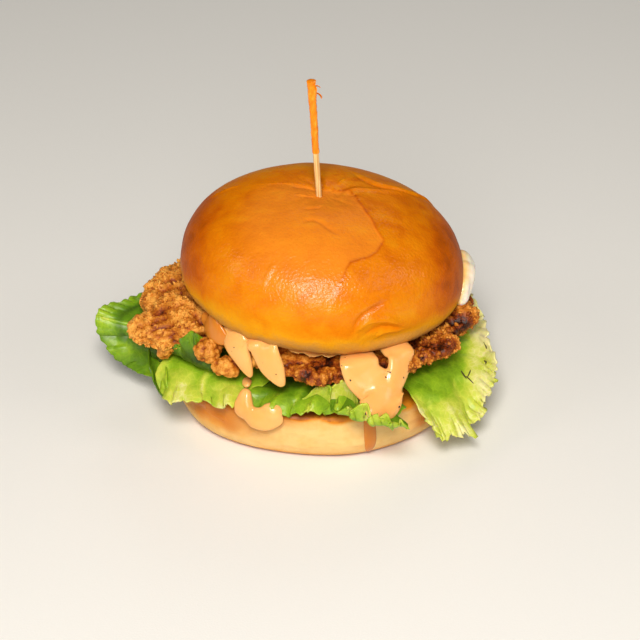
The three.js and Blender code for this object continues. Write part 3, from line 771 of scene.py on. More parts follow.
def sauce_finish(name, sauce_colour, deep_colour):
    """Chilli mayonnaise: an opaque emulsion, smooth and glossy, a little waxy where it is thin."""
    material, tree, shader, place = start_material(name)
    # the colour drifts over 9 mm, and the surface dapples every 3 mm
    colour = mixed(tree, noise(tree, place, 0.009, 2.0), sauce_colour, deep_colour)
    bump = bumped(tree, noise(tree, place, 0.003, 2.0), 0.25, 0.0003)
    feed(tree, shader, {
        "Base Color": colour, "Roughness": 0.2, "Normal": bump, "IOR": 1.46, "Specular IOR Level": 0.4,
        "Subsurface Weight": 0.35, "Subsurface Scale": 0.003, "Subsurface Radius": (1.0, 0.55, 0.25),
        "Coat Weight": 0.1, "Coat Roughness": 0.08,
    })
    return material


def cream_finish(look):
    """Creamy dressing: white and glossy, yellower where it has spread thin at its rim."""
    material, tree, shader, place = start_material("creamy_dressing")
    # the yellower rim wanders by patches of 3 mm
    drift = remapped(tree, noise(tree, place, 0.003, 2.0), -0.3, 0.3)
    share = combined(tree, "ADD", painted(tree, "rim"), drift, use_clamp=True)
    feed(tree, shader, {
        "Base Color": mixed(tree, share, look.cream_colour, look.cream_rim), "Roughness": 0.18,
        "IOR": 1.46, "Specular IOR Level": 0.4, "Subsurface Weight": 0.3, "Subsurface Scale": 0.003,
        "Coat Weight": 0.1, "Coat Roughness": 0.06,
    })
    return material


def wood_finish(look):
    """Turned bamboo: pale, dry, with straight fibres that run up the stick."""
    material, tree, shader, place = start_material("bamboo")
    # fibres 0.4 mm wide and some 20 mm long
    fibre = noise(tree, stretched(tree, place, 0.02), 0.0004, 3.0)
    colour = ramped(tree, fibre, [(0.3, look.wood_dark), (0.5, look.wood_colour), (0.7, linear("#FBDFA4"))])
    feed(tree, shader, {
        "Base Color": colour, "Roughness": 0.48, "Normal": bumped(tree, fibre, 0.4, 0.0001), "IOR": 1.5,
    })
    return material


def film_finish(look, name, clearness):
    """Cellophane wound on the stick: clear orange plastic, creased and shiny."""
    material, tree, shader, place = start_material(name)
    # creases 1.2 mm apart that run along the stick
    crease = noise(tree, stretched(tree, place, 0.35), 0.0012, 3.0)
    colour = ramped(tree, crease, [
        (0.3, look.film_deep), (0.55, look.film_colour), (0.75, linear("#FFAE3C")),
    ])
    feed(tree, shader, {
        "Base Color": colour, "Roughness": 0.2, "Normal": bumped(tree, crease, 0.7, 0.0002), "IOR": 1.5,
        "Specular IOR Level": 0.2, "Transmission Weight": clearness, "Coat Weight": 0.05,
        "Coat Roughness": 0.08,
    })
    return material


def plain_finish(name, first, second, grain, roughness):
    """Small bits such as pepper or herb: two close colours in a grain of the given size in metres."""
    material, tree, shader, place = start_material(name)
    speckle = noise(tree, place, grain, 3.0)
    feed(tree, shader, {
        "Base Color": mixed(tree, speckle, first, second), "Roughness": roughness,
        "Normal": bumped(tree, speckle, 0.3, grain / 4),
    })
    return material


# ---------------------------------------------------------------- scattered bits


def random_value(tree, inputs, kind="FLOAT"):
    return add_node(tree, "FunctionNodeRandomValue", inputs, data_type=kind).outputs


def scaled(tree, vector, scale):
    inputs = {0: vector, "Scale": scale}
    return add_node(tree, "ShaderNodeVectorMath", inputs, operation="SCALE").outputs[0]


def host_number(tree, name):
    """A number painted on the surface that the grains lie on."""
    return add_node(tree, "GeometryNodeInputNamedAttribute", {"Name": name}, data_type="FLOAT").outputs[0]


def scatter_tree(name):
    """Geometry Nodes that scatter craggy grains over a surface, and leave only the grains."""
    tree = bpy.data.node_groups.new(name, "GeometryNodeTree")
    tree.is_modifier = True
    sockets = {}
    for label, kind, value in [
        ("Surface", "NodeSocketGeometry", None), ("Density", "NodeSocketFloat", 100000.0),
        ("Size", "NodeSocketFloat", 0.001), ("Smallest share", "NodeSocketFloat", 0.4),
        ("Raggedness", "NodeSocketFloat", 0.35), ("Seed", "NodeSocketInt", 1),
        ("Finish", "NodeSocketMaterial", None),
    ]:
        sockets[label] = tree.interface.new_socket(label, in_out="INPUT", socket_type=kind)
        if value is not None:
            sockets[label].default_value = value
    tree.interface.new_socket("Grains", in_out="OUTPUT", socket_type="NodeSocketGeometry")
    given = add_node(tree, "NodeGroupInput").outputs
    density = combined(tree, "MULTIPLY", given["Density"], host_number(tree, "scatter"))
    spots = add_node(tree, "GeometryNodeDistributePointsOnFaces",
                     {"Mesh": given["Surface"], "Density": density, "Seed": given["Seed"]})
    # one grain: a small ball pushed out of round
    ball = add_node(tree, "GeometryNodeMeshIcoSphere", {"Radius": 1.0, "Subdivisions": 1})
    rough = add_node(tree, "ShaderNodeTexNoise", {"Scale": 1.9, "Detail": 1.0})
    centred = add_node(tree, "ShaderNodeVectorMath", {0: rough.outputs["Color"], 1: (0.5, 0.5, 0.5)},
                       operation="SUBTRACT")
    push = scaled(tree, scaled(tree, centred.outputs[0], given["Raggedness"]), 4.0)
    grain = add_node(tree, "GeometryNodeSetPosition", {"Geometry": ball.outputs[0], "Offset": push})
    # most grains are small and a few are large
    draw = random_value(tree, {"Seed": given["Seed"]})[1]
    share = remapped(tree, combined(tree, "POWER", draw, 2.5), given["Smallest share"], 1.0)
    size = combined(tree, "MULTIPLY", share, given["Size"])
    stretch = random_value(tree, {0: (0.55, 0.55, 0.45), 1: (1.45, 1.3, 1.1), "Seed": 5}, "FLOAT_VECTOR")[0]
    turn = random_value(tree, {0: (0, 0, 0), 1: (6.283, 6.283, 6.283), "Seed": 9}, "FLOAT_VECTOR")[0]
    placed = add_node(tree, "GeometryNodeInstanceOnPoints", {
        "Points": spots.outputs["Points"], "Instance": grain.outputs[0], "Rotation": turn,
        "Scale": scaled(tree, stretch, size),
    })
    # a grain takes its tone partly from the place it sits on, with the painted shade of its creases, and
    # partly by chance
    chance = random_value(tree, {2: 0.0, 3: 0.5, "Seed": 13})[1]
    hue = add_node(tree, "ShaderNodeMath", {0: host_number(tree, "crag"), 1: 0.6, 2: chance},
                   operation="MULTIPLY_ADD")
    stored = add_node(tree, "GeometryNodeStoreNamedAttribute",
                      {"Geometry": placed.outputs[0], "Name": "tone", "Value": hue.outputs[0]},
                      data_type="FLOAT", domain="INSTANCE")
    real = add_node(tree, "GeometryNodeRealizeInstances", {"Geometry": stored.outputs[0]})
    finished = add_node(tree, "GeometryNodeSetMaterial",
                        {"Geometry": real.outputs[0], "Material": given["Finish"]})
    add_node(tree, "NodeGroupOutput", {0: finished.outputs[0]})
    return tree, sockets


def scattered(name, host, material, **inputs):
    """The grains that the scatter tree leaves on a host mesh, as a plain mesh."""
    tree, sockets = scatter_tree(name)
    blank = in_scene(name + "_host", host)
    modifier = blank.modifiers.new(name, "NODES")
    modifier.node_group = tree
    modifier[sockets["Finish"].identifier] = material
    for label, value in inputs.items():
        modifier[sockets[label.replace("_", " ")].identifier] = value
    return evaluated(blank)


# ---------------------------------------------------------------- bun


def heel_radius(azimuth):
    across_x = np.abs(np.cos(azimuth) / HEEL["radius_x"]) ** HEEL["power"]
    across_y = np.abs(np.sin(azimuth) / HEEL["radius_y"]) ** HEEL["power"]
    return (across_x + across_y) ** (-1 / HEEL["power"]) + 0.6 * np.sin(5 * azimuth + 2)


def heel_profile():
    base, top, rim = HEEL["base"], HEEL["top"], HEEL["rim_height"]
    rows = [(0, 0)] + [(base * i / 6, 0) for i in range(1, 7)]
    for angle in np.linspace(0.08, math.pi / 2, 16):
        rows.append((mix(base, 1, math.sin(angle)), HEEL["belly_height"] * (1 - math.cos(angle))))
    side_top = rim - HEEL["corner"]
    for share in np.linspace(0.06, 1, 14):
        rows.append((mix(1, top, share**1.3), mix(HEEL["belly_height"], side_top, share)))
    rows += [(top - 0.008, rim - 0.35), (top - 0.02, rim), (top - 0.035, rim + 0.1)]
    for share in np.linspace(0.06, 1, 16):
        rows.append((mix(top - 0.035, HEEL["flat_top"], share), mix(rim + 0.1, HEEL_TOP, share**0.8)))
    rows += [(HEEL["flat_top"] * share, HEEL_TOP) for share in (0.75, 0.5, 0.25)] + [(0, HEEL_TOP)]
    return rows


def build_heel(look):
    share, height, azimuth, faces = turned(heel_profile(), 360)
    radius = share * heel_radius(azimuth)
    points = np.stack([radius * np.cos(azimuth) + HEEL["offset_x"], radius * np.sin(azimuth), height],
                      axis=1)
    mesh = make_mesh("heel_bun_bread", points, faces)
    normals = normals_of(mesh)
    side = smooth(height, 1.5, 5) * smooth(share, 0.6, 0.95)
    long_way = points * (0.45, 0.45, 1.6)
    relief = 0.45 * cloud(points, 12, 3) + 0.35 * cloud(long_way, 3.4, 5) + 0.12 * cloud(points, 1.6, 8)
    rim = np.exp(-(((height - HEEL["rim_height"]) / 0.9) ** 2)) * smooth(share, 0.9, 0.96)
    relief = relief * side + 0.35 * rim * cloud(points, 2.6, 11)
    cut = smooth(height, HEEL["rim_height"], HEEL["rim_height"] + 0.6)
    relief -= 0.35 * cut * (1 - clods(points, 2.2, 21))
    move_spots(mesh, points + normals * relief[:, None])
    ragged = 1.2 * cloud(points, 7, 17)
    edge = smooth(height + ragged, 16.6, 18.8) * side
    # painted shade together with the darkening of the wet crust: the heel is made darker at its left end
    wet_and_shaded_left_end = lobe(azimuth, 214, 20) * smooth(height, 2, 12)
    base_brown = (1 - smooth(height, 0.4, 4.5)) * 0.75
    blush = lobe(azimuth, 256, 13) * smooth(height + ragged, 12, 18) * side
    tone = 0.04 + 0.72 * edge + 0.55 * wet_and_shaded_left_end + base_brown + 0.35 * blush + 0.25 * cut
    soak = lobe(azimuth, 222, 20) * smooth(height + 2 * ragged, 6, 12) * side
    soak = np.maximum(soak, lobe(azimuth, 319, 7) * smooth(height + ragged, 3, 10) * side)
    soak = np.maximum(soak, 0.8 * lobe(azimuth, 248, 11) * smooth(height + ragged, 11, 17) * side)
    paint(mesh, "tone", np.clip(tone, 0, 1))
    paint(mesh, "soak", np.clip(soak, 0, 1))
    return add_piece("heel_bun_bread", mesh, heel_finish(look), "bun_crumb", "heel_bun")


def crown_profile():
    rows = [(0, 0)] + [(CROWN["mouth"] * i / 9, 0) for i in range(1, 10)]
    for angle in np.linspace(0.06, math.pi / 2, 22):
        rows.append((mix(CROWN["mouth"], 1, math.sin(angle)), CROWN["belt"] * (1 - math.cos(angle))))
    rise = CROWN["height"] - CROWN["belt"]
    for angle in np.linspace(0, math.pi / 2, 118)[1:]:
        share = max(math.cos(angle), 0) ** (2 / CROWN["power"])
        rows.append((share, CROWN["belt"] + rise * math.sin(angle) ** (2 / CROWN["power"])))
    rows[-1] = (0, CROWN["height"])
    return rows


def crown_relief(points, look):
    """How far the baked skin stands out from the plain dome, and the matt patch on it."""
    x, y, z = points.T
    fold_x, fold_z, fold_depth, fold_reach_x, fold_reach_z = FOLD
    fold = np.exp(-(((x - fold_x) / fold_reach_x) ** 2) - ((z - fold_z) / fold_reach_z) ** 2)
    ridge_x, ridge_y, ridge_height, ridge_reach_x, ridge_reach_y = RIDGE
    ridge = np.exp(-(((x - ridge_x) / ridge_reach_x) ** 2) - ((y - ridge_y) / ridge_reach_y) ** 2)
    away = np.hypot(x - DIMPLE[0], y - DIMPLE[1])
    dimple = np.exp(-((away / DIMPLE[2]) ** 2))
    turn = np.arctan2(y - DIMPLE[1], x - DIMPLE[0])
    rays = cloud(np.stack([4 * np.cos(turn), 4 * np.sin(turn), away / 18], axis=1), 1.0, 31)
    pucker = np.exp(-((away / 15) ** 2)) * smooth(away, 1.5, 5)
    relief = 0.55 * cloud(points, 24, 2) + 0.2 * cloud(points, 9, 4) + 0.05 * cloud(points, 3, 6)
    relief += ridge_height * ridge - fold_depth * fold * (y < 0) - look.dimple_depth / MM * dimple
    relief += 0.3 * pucker * rays
    for path, width, height in CROWN_LINES:
        relief += height * stroke(points, path, width)
    distance, side = path_distance(points[:, :2], CROWN_PATCH)
    wavy = distance * side + 0.8 * cloud(points, 5, 14)
    inside = smooth(-wavy, -0.3, 0.3) * (z > 20)
    spread = 1 - smooth(np.hypot(x + 3, y + 16), 22, 36)
    patch = inside * spread
    border = np.exp(-(((wavy - 0.1) / 0.55) ** 2)) * (z > 20) * spread
    return relief - CROWN_PATCH_STEP * patch + 0.15 * border, patch, border


def build_crown(look):
    share, height, azimuth, faces = turned(crown_profile(), 420)
    x, y = share * np.cos(azimuth), share * np.sin(azimuth)
    points = np.stack([x * CROWN["radius_x"], y * CROWN["radius_y"], height], axis=1)
    mesh = make_mesh("crown_bun_bread", points, faces)
    normals = normals_of(mesh)
    relief, patch, border = crown_relief(points, look)
    skin = smooth(height, 0.2, 2.5)
    rim = np.exp(-(((height - 3.2) / 2.6) ** 2))
    relief = relief * skin + 0.35 * rim * cloud(points, 4.5, 9) + 0.12 * rim * cloud(points, 1.6, 10)
    local = points + normals * relief[:, None]
    tilt = Matrix.Rotation(CROWN_TILT[0], 3, "X") @ Matrix.Rotation(CROWN_TILT[1], 3, "Y")
    move_spots(mesh, local @ np.array(tilt).T + np.array(CROWN_SEAT))
    ragged = 1.6 * cloud(points, 8, 15) + 0.7 * cloud(points, 3, 16)
    climb = smooth(height + ragged, 3.5, 15) * 0.42 + smooth(height, 10, 40) * 0.14
    # painted light: the crust is made lighter towards the back
    lit_back = smooth(points[:, 1], 0, 40) * -0.16
    # painted shade: the crust is made darker at its left and right ends, above the rim
    ends = smooth(np.abs(points[:, 0]), 36, 54) * 0.34 * smooth(height, 6, 16)
    band = 0.16 * stroke(points, [(41, 2, 36), (43, -12, 33), (45, -22, 26), (43, -30, 19)], 4.5)
    # the border of the matt patch is painted darker as a thin shadow line
    tone = 0.03 + climb + lit_back + ends + band + 0.22 * border
    # painted shade in the creases of the lines and a faint painted highlight on their ridges
    for path, width, depth in CROWN_LINES:
        tone += (0.10 if depth < 0 else -0.03) * stroke(points, path, width)
    tone += 0.1 * np.exp(-(((height - 40) / 6) ** 2)) * cloud(points * (0.25, 1, 1), 3, 18)
    near = np.exp(-((np.hypot(points[:, 0] + 1, points[:, 1] - 2) / 20) ** 2))
    tone += near * (0.1 * cloud(points, 2.6, 19) + 0.08 * cloud(points, 1.2, 20))
    paint(mesh, "tone", np.clip(tone, 0.02, 0.96))
    paint(mesh, "patch", patch)
    paint(mesh, "glaze", smooth(height, 15, 25) * (1 - 0.6 * patch))
    return add_piece("crown_bun_bread", mesh, crust_finish(look), "bun_crust", "crown_bun")


# ---------------------------------------------------------------- fillet


def crown_face(x, y):
    """Height of the crown's cut face, extended past its rim."""
    fall, rise = math.tan(CROWN_TILT[1]), math.tan(CROWN_TILT[0])
    return CROWN_SEAT.z - fall * (x - CROWN_SEAT.x) + rise * (y - CROWN_SEAT.y)


def fillet_radius(azimuth):
    return lobed(azimuth, FILLET["radius"], FILLET["lobes"])


def build_clumps(breading):
    """Knobs of breading that hang off the fillet's edge."""
    shells, clump_tone_and_crease_shade = [], []
    for seed, (centre, halves) in enumerate(CLUMPS):
        share, level, azimuth, faces = turned(slab_profile(42, 2.2), 70)
        ball = np.stack([share * np.cos(azimuth), share * np.sin(azimuth), level], axis=1)
        points = ball * halves
        lump, nub = clods(points + 50 * seed, 4.4, 110), clods(points + 50 * seed, 2.1, 120)
        points = points + ball * (1.5 * (lump - 0.4) + 0.9 * (nub - 0.5))[:, None]
        shells.append((points + centre, faces))
        # lighter on the lumps and darker in the creases, as painted shade
        clump_tone_and_crease_shade.append(0.1 + 0.38 * lump + 0.5 * nub)
    mesh = make_mesh("breading_clumps", *joined(shells), outwards=True)
    paint(mesh, "crag", np.clip(np.concatenate(clump_tone_and_crease_shade), 0, 1))
    return add_piece("breading_clumps", mesh, breading, "breading")


def build_fillet(look):
    share, level, azimuth, faces = turned(slab_profile(124, FILLET["rim_power"]), 560)
    radius = share * (fillet_radius(azimuth) + waves(azimuth, FILLET["edge_waves"]) - 0.8)
    radius = radius * (1 - FILLET["undercut"] * lobe(azimuth, 324, 34) * smooth(-level, -0.35, 0.75))
    for centre, half_width, depth in FILLET["hollows"]:
        radius = radius * (1 - depth * lobe(azimuth, centre, half_width))
    x, y = radius * np.cos(azimuth), radius * np.sin(azimuth)
    outside = smooth(radius, FILLET["shoulder_from"], FILLET["shoulder_to"])
    top = mix(crown_face(x, y) - FILLET["top_gap"], FILLET["shoulder_top"], outside) - 0.6
    bottom = np.full(len(x), FILLET["underside"] + 0.5)
    points = np.stack([x, y, (top + bottom) / 2 + level * (top - bottom) / 2], axis=1)
    mesh = make_mesh("fried_chicken", points, faces)
    normals = normals_of(mesh)
    free = mix(0.25, 1, smooth(radius, 40, 50))
    warped = points
    for size, seed, reach in ((5, 40, 1.8), (1.9, 44, 0.8), (1.0, 47, 0.5)):
        warped = warped + np.stack([cloud(points, size, seed + i) for i in range(3)], axis=1) * reach
    big, lump, nub = clods(warped, 11, 50), clods(warped, 4.8, 60), clods(warped, 2.1, 70)
    fine = 0.6 * cloud(points, 1.5, 80) + 0.5 * cloud(points, 0.8, 81)
    crag = look.crag_height / MM
    relief = crag * (1.4 * (big - 0.55) + 0.9 * (lump**1.4 - 0.4) + 0.5 * (nub - 0.5) + 0.26 * fine)
    for place, height, reach in MOUNDS:
        relief += height * np.exp(-(np.linalg.norm(points - place, axis=1) / reach) ** 2)
    move_spots(mesh, points + normals * (relief * free)[:, None])
    # lighter on the lumps and darker in the creases: the dark creases are painted shade
    lump_tone_and_crease_shade = -0.29 + 0.4 * lump + 0.5 * nub * mix(0.6, 1, lump) + 0.4 * smooth(big, 0.25, 0.8)
    lump_tone_and_crease_shade = lump_tone_and_crease_shade + 0.2 * fine
    # painted shade on the upper front under the crown; the right side is made darker and the left lobe
    # paler
    front_shade_and_side_tone = 0.22 * lobe(azimuth, 268, 13) * smooth(level, -0.75, -0.2)
    front_shade_and_side_tone += 0.2 * lobe(azimuth, 325, 42) - 0.26 * lobe(azimuth, 185, 48)
    # the crag tone carries the painted shade of the creases and of the upper front
    paint(mesh, "crag", np.clip(lump_tone_and_crease_shade - front_shade_and_side_tone, 0, 1))
    bare = smooth(radius, 44, 50) * (1 - 0.85 * lobe(azimuth, 268, 12) * smooth(level, -0.6, 0))
    paint(mesh, "scatter", np.clip(bare * smooth(lump_tone_and_crease_shade, 0.3, 0.75), 0, 1))
    breading = breading_finish(look, "fried_breading", "crag")
    fillet = add_piece("fried_chicken", mesh, breading, "breading", "chicken_fillet")
    build_clumps(breading)
    crumb_finish = breading_finish(look, "fried_crumbs", "tone")
    crumbs = scattered("breading_crumbs", mesh, crumb_finish, Density=look.crumb_density,
                       Size=look.crumb_size, Smallest_share=0.28, Raggedness=0.62, Seed=look.seed)
    add_piece("breading_crumbs", crumbs, None, "breading")
    return fillet


# ---------------------------------------------------------------- lettuce


def upward_normals(grid):
    normals = grid_normals(grid)
    return normals * np.sign(normals[..., 2].mean())


def leaf_grid(leaf, look):
    """The fine surface of a leaf: its net, ruffles towards the rim, blisters and a jagged edge."""
    name, node, tone, ruffle, ruffle_length, frill, rib_column, net = leaf
    taper = CURL_TAPER if node is None else LEAF_TAPER
    net = np.asarray(net, float)
    rim_run = np.linalg.norm(np.diff(net[-1], axis=0), axis=1).sum()
    depth_run = np.linalg.norm(np.diff(net.mean(axis=1), axis=0), axis=1).sum()
    columns, rows = int(rim_run * 1.9), max(int(depth_run * 1.7), 30)
    seed = 100 + sum(ord(letter) for letter in name)
    along = np.linspace(0, 1, columns)
    edge = np.stack([along * rim_run, 0 * along, 0 * along], axis=1)
    teeth = 0.9 * cloud(edge, 1.7, seed) + 1.2 * cloud(edge, 5, seed + 1)
    ends = 1 - taper[0] * np.abs(2 * along - 1) ** taper[1]
    out = np.linspace(0, 1, rows)[:, None] * ends[None, :]
    lines = np.stack([spline(row, along) for row in net], axis=0)
    grid = np.stack([spline(lines[:, column], out[:, column]) for column in range(columns)], axis=1)
    slope = unit(lines[-1] - lines[-2])
    grid += slope[None] * (smooth(out, 0.8, 1) * frill * teeth[None, :])[..., None]
    across = along[None, :] * rim_run + 0 * out
    depth = out * depth_run
    flat = np.stack([across, depth * 0.8, 0 * across], axis=-1)
    drift = cloud(flat, 14, seed + 2)
    free = smooth(out, 0.42, 0.95)
    rimmed = smooth(out, 0.74, 1.0)
    sway = 2 * math.pi * across / ruffle_length + 1.8 * drift + out * 2.0
    quiver = 2 * math.pi * across / 5.2 + 2.6 * cloud(flat, 7, seed + 4) + out * 3.0
    tangent = unit(np.gradient(grid, axis=1))
    height = look.ruffle_height / (4 * MM) * ruffle
    lift = height * free * np.sin(sway) + 0.4 * frill * rimmed * np.sin(quiver) + 0.7 * (1 - free) * drift
    slide = 0.55 * height * free * np.sin(2 * sway + 0.6) + 0.3 * frill * rimmed * np.sin(2 * quiver)
    grid = grid + upward_normals(grid) * lift[..., None] + tangent * slide[..., None]
    blister = clods(grid, 7.5, seed + 3)
    blister_fine = clods(grid, 3.2, seed + 5)
    rib = np.exp(-(((along[None, :] * (net.shape[1] - 1) - rib_column) * rim_run / (net.shape[1] - 1)
                    / mix(3.2, 0.8, np.clip(out, 0, 1))) ** 2))
    relief = look.blister_height / MM * (blister + 0.3 * blister_fine) + 0.6 * rib * (out < 0.95)
    grid = grid + upward_normals(grid) * relief[..., None]
    vein = smooth(1 - blister, 0.72, 0.98) * 0.09 + smooth(1 - blister_fine, 0.72, 0.97) * 0.04
    shade = (1 - smooth(out, 0.4, 0.78)) * 0.34
    if name == PALE_LEAF:
        shade = shade - 0.2 * smooth(along[None, :], 0.35, 0.6)
    # painted light on the ruffle crests and painted shade in their troughs, and a lighter rim
    ruffle_light_and_shade = 0.09 * np.sin(sway) * free + 0.06 * rimmed + 0.02 * np.sin(quiver) * rimmed
    return grid, tone + 0.2 * rib * (1 - 0.6 * rimmed) + vein - shade + ruffle_light_and_shade


def build_leaf(leaf, look, finish):
    """One leaf as a thin closed sheet, in place of its CAD node."""
    name, node = leaf[:2]
    grid, values = leaf_grid(leaf, look)
    if name == FOLDED_LEAF:
        # the rim is folded up in a paler band, and the crease below it is painted darker as shade
        across = np.linspace(0, 8, grid.shape[1])[None, :]
        out = np.linspace(0, 1, grid.shape[0])[:, None]
        band = smooth(out, 0.80, 0.88) * smooth(across, 1.5, 3) * (1 - smooth(across, 5.6, 6.4))
        crease = np.exp(-(((out - 0.77) / 0.04) ** 2)) * smooth(across, 3, 4)
        crease = crease * (1 - smooth(across, 5.6, 6.6))
        values = values + 0.12 * band - 0.2 * crease
    points, faces = sheet(grid, look.leaf_thickness / MM)
    mesh = make_mesh(name, points, faces, outwards=True)
    paint(mesh, "tone", np.clip(np.tile(values.ravel(), 2), 0, 1))
    return add_piece(name, mesh, finish, "lettuce", node)


def build_curls(look, finish):
    """All the curled bits of leaf as one piece."""
    shells, tones = [], []
    for curl in CURLS:
        grid, values = leaf_grid(curl, look)
        shells.append(sheet(grid, look.leaf_thickness / MM))
        tones.append(np.tile(values.ravel(), 2))
    mesh = make_mesh("leaf_curls", *joined(shells), outwards=True)
    paint(mesh, "tone", np.clip(np.concatenate(tones), 0, 1))
    return add_piece("leaf_curls", mesh, finish, "lettuce")


def twig(path, radius):
    """A thin closed tube along a path."""
    steps, sides = 12, 7
    line = spline(path, np.linspace(0, 1, steps))
    tangent = np.gradient(line, axis=0)
    across = unit(np.cross(tangent, (0.0, 0.0, 1.0)))
    above = unit(np.cross(across, tangent))
    turn = np.arange(sides) * 2 * math.pi / sides
    girth = radius * np.sin(np.linspace(0.3, math.pi - 0.3, steps))[:, None, None] ** 0.5
    ring = across[:, None] * np.cos(turn)[None, :, None] + above[:, None] * np.sin(turn)[None, :, None]
    points = np.concatenate([line[:1], (line[:, None] + girth * ring).reshape(-1, 3), line[-1:]])
    return points, shell_faces(steps, sides)


def build_herbs(look):
    """Dried herb that has fallen on the right leaf, laid on its surface."""
    right_leaf = LEAVES[3]
    grid = leaf_grid(right_leaf, look)[0].reshape(-1, 3)
    shells = []
    for path, radius in HERBS:
        flat = np.array(path)
        nearest = [np.argmin(np.hypot(grid[:, 0] - x, grid[:, 1] - y)) for x, y in flat]
        laid = np.column_stack([flat, grid[nearest, 2] + 0.45])
        shells.append(twig(laid, radius))
    mesh = make_mesh("dried_herb", *joined(shells), outwards=True)
    herb = plain_finish("dried_herb", linear("#2B260E"), linear("#514A1E"), 0.0006, 0.7)
    return add_piece("dried_herb", mesh, herb, "lettuce")


# ---------------------------------------------------------------- sauces


def sauce_disc():
    """The thin layer of sauce between the fillet and the crown."""
    share, level, azimuth, faces = turned(slab_profile(16, SAUCE_LAYER["power"]), 90)
    reach = SAUCE_LAYER["radius"] + waves(azimuth, [(7, 1.5, 0), (4, 1.2, 2)])
    x, y = share * reach * np.cos(azimuth), share * reach * np.sin(azimuth)
    z = crown_face(x, y) - SAUCE_LAYER["below_crown"] + level * SAUCE_LAYER["half"]
    return np.stack([x, y, z], axis=1), faces


def melted(name, shells, look):
    """Shells of sauce run together into one smooth skin."""
    points, faces = joined(shells)
    mesh = make_mesh(name, points, faces, outwards=True)
    return applied(mesh, [
        ("REMESH", {"mode": "VOXEL", "voxel_size": look.sauce_detail}),
        ("SMOOTH", {"factor": 0.5, "iterations": 6}),
    ])


def rippled(mesh, depth, size, seed):
    """Moves the mesh's points in and out by smooth noise."""
    points = spots_of(mesh)
    move_spots(mesh, points + normals_of(mesh) * (depth * cloud(points, size, seed))[:, None])


def build_sauce(look):
    finish = sauce_finish("chilli_mayonnaise", look.sauce_colour, look.sauce_deep)
    thin_finish = sauce_finish("thin_chilli_sauce", look.thin_colour, look.thin_deep)
    shells = [tongue(run, 60, 40) for run in SAUCE_RUNS] + [sauce_disc()]
    mesh = melted("chilli_sauce", shells, look)
    x, y, _ = spots_of(mesh).T
    paint(mesh, "scatter", smooth(np.hypot(x, y), 46, 49))
    rippled(mesh, 0.25, 5, 90)
    sauce = add_piece("chilli_sauce", mesh, finish, "sauce", "sauce")
    pepper = plain_finish("cracked_pepper", linear("#1C0F08"), linear("#4A2A14"), 0.0003, 0.6)
    flecks = scattered("pepper_flecks", mesh, pepper, Density=look.fleck_density, Size=look.fleck_size,
                       Smallest_share=0.3, Raggedness=0.3, Seed=4)
    add_piece("pepper_flecks", flecks, None, "sauce")
    blob = melted("heel_sauce", [tongue(run, 50, 36) for run in HEEL_SAUCE], look)
    rippled(blob, 0.3, 4, 92)
    add_piece("heel_sauce", blob, finish, "sauce", "sauce_on_heel")
    thin = make_mesh("thin_sauce", *joined([tongue(run, 50, 24) for run in THIN_SAUCE]), outwards=True)
    add_piece("thin_sauce", thin, thin_finish, "sauce")
    return sauce


def build_cream(look):
    rings, sides = 90, 48
    points, faces = tongue(CREAM, rings, sides)
    mesh = make_mesh("cream_dollop", points, faces, outwards=True)
    normals = normals_of(mesh)
    relief = 1.2 * cloud(points, 6, 95) + 0.7 * (clods(points, 5, 94) - 0.5) + 0.25 * cloud(points, 2.2, 96)
    move_spots(mesh, points + normals * relief[:, None])
    turn = np.concatenate([[0], np.tile(np.arange(sides) * 2 * math.pi / sides, rings), [0]])
    paint(mesh, "rim", np.abs(np.cos(turn)) ** 3)
    return add_piece("cream_dollop", mesh, cream_finish(look), "cream", "cream_dressing")


# ---------------------------------------------------------------- stick


def stick_axis():
    top, entry = Vector(STICK["top"]), Vector(STICK["entry"])
    return top, (entry - top).normalized()


def along_stick(share, down, azimuth):
    """Points round the stick's line: radius and distance down from its top."""
    top, axis = stick_axis()
    side = Vector((0, 1, 0))
    other = axis.cross(side).normalized()
    ring = np.outer(share * np.cos(azimuth), other) + np.outer(share * np.sin(azimuth), side)
    return np.array(top) + np.outer(down, axis) + ring


def build_stick(look):
    radius, length, point = STICK["radius"], STICK["length"], STICK["point"]
    rows = [(0, length), (radius * 0.14, length - 0.5), (radius * 0.5, length - point * 0.45)]
    rows += [(radius * 0.93, length - point * 0.92)]
    rows += [(radius, down) for down in np.linspace(length - point, 0.5, 60)]
    rows += [(radius * 0.9, 0.12), (radius * 0.5, 0), (0, 0)]
    share, down, azimuth, faces = turned(rows, 28)
    points = along_stick(share, down, azimuth)
    mesh = make_mesh("bamboo_stick", points, faces, outwards=True)
    points = points + normals_of(mesh) * (0.05 * cloud(points * (1, 1, 0.15), 0.7, 97))[:, None]
    move_spots(mesh, points)
    return add_piece("bamboo_stick", mesh, wood_finish(look), "stick_wood", "cocktail_stick")


def film_curl(start, heading, turns, size, width, phase):
    """One curled shred of film: a narrow ribbon that winds up as it leaves the stick."""
    steps = 46
    share = np.linspace(0, 1, steps)
    heading = Vector(heading).normalized()
    up = Vector((0, 0, 1))
    side = heading.cross(up).normalized()
    coil = size * (1 - 0.6 * share)
    turn = phase + turns * 2 * math.pi * share
    centre = np.array(start) + np.outer(size * 1.5 * share + 0.3, heading)
    ring = np.outer(coil * np.cos(turn), up) + np.outer(coil * np.sin(turn), heading)
    middle = centre + ring - ring[0]
    spoke = unit(ring)
    taper = width * (0.25 + 0.75 * np.sin(math.pi * np.clip(share * 0.9 + 0.08, 0, 1))) / 2
    half = taper[:, None] * (0.6 * np.array(side) + 0.8 * spoke)
    return np.stack([middle - half, middle + 0.1 * spoke, middle + half], axis=1)


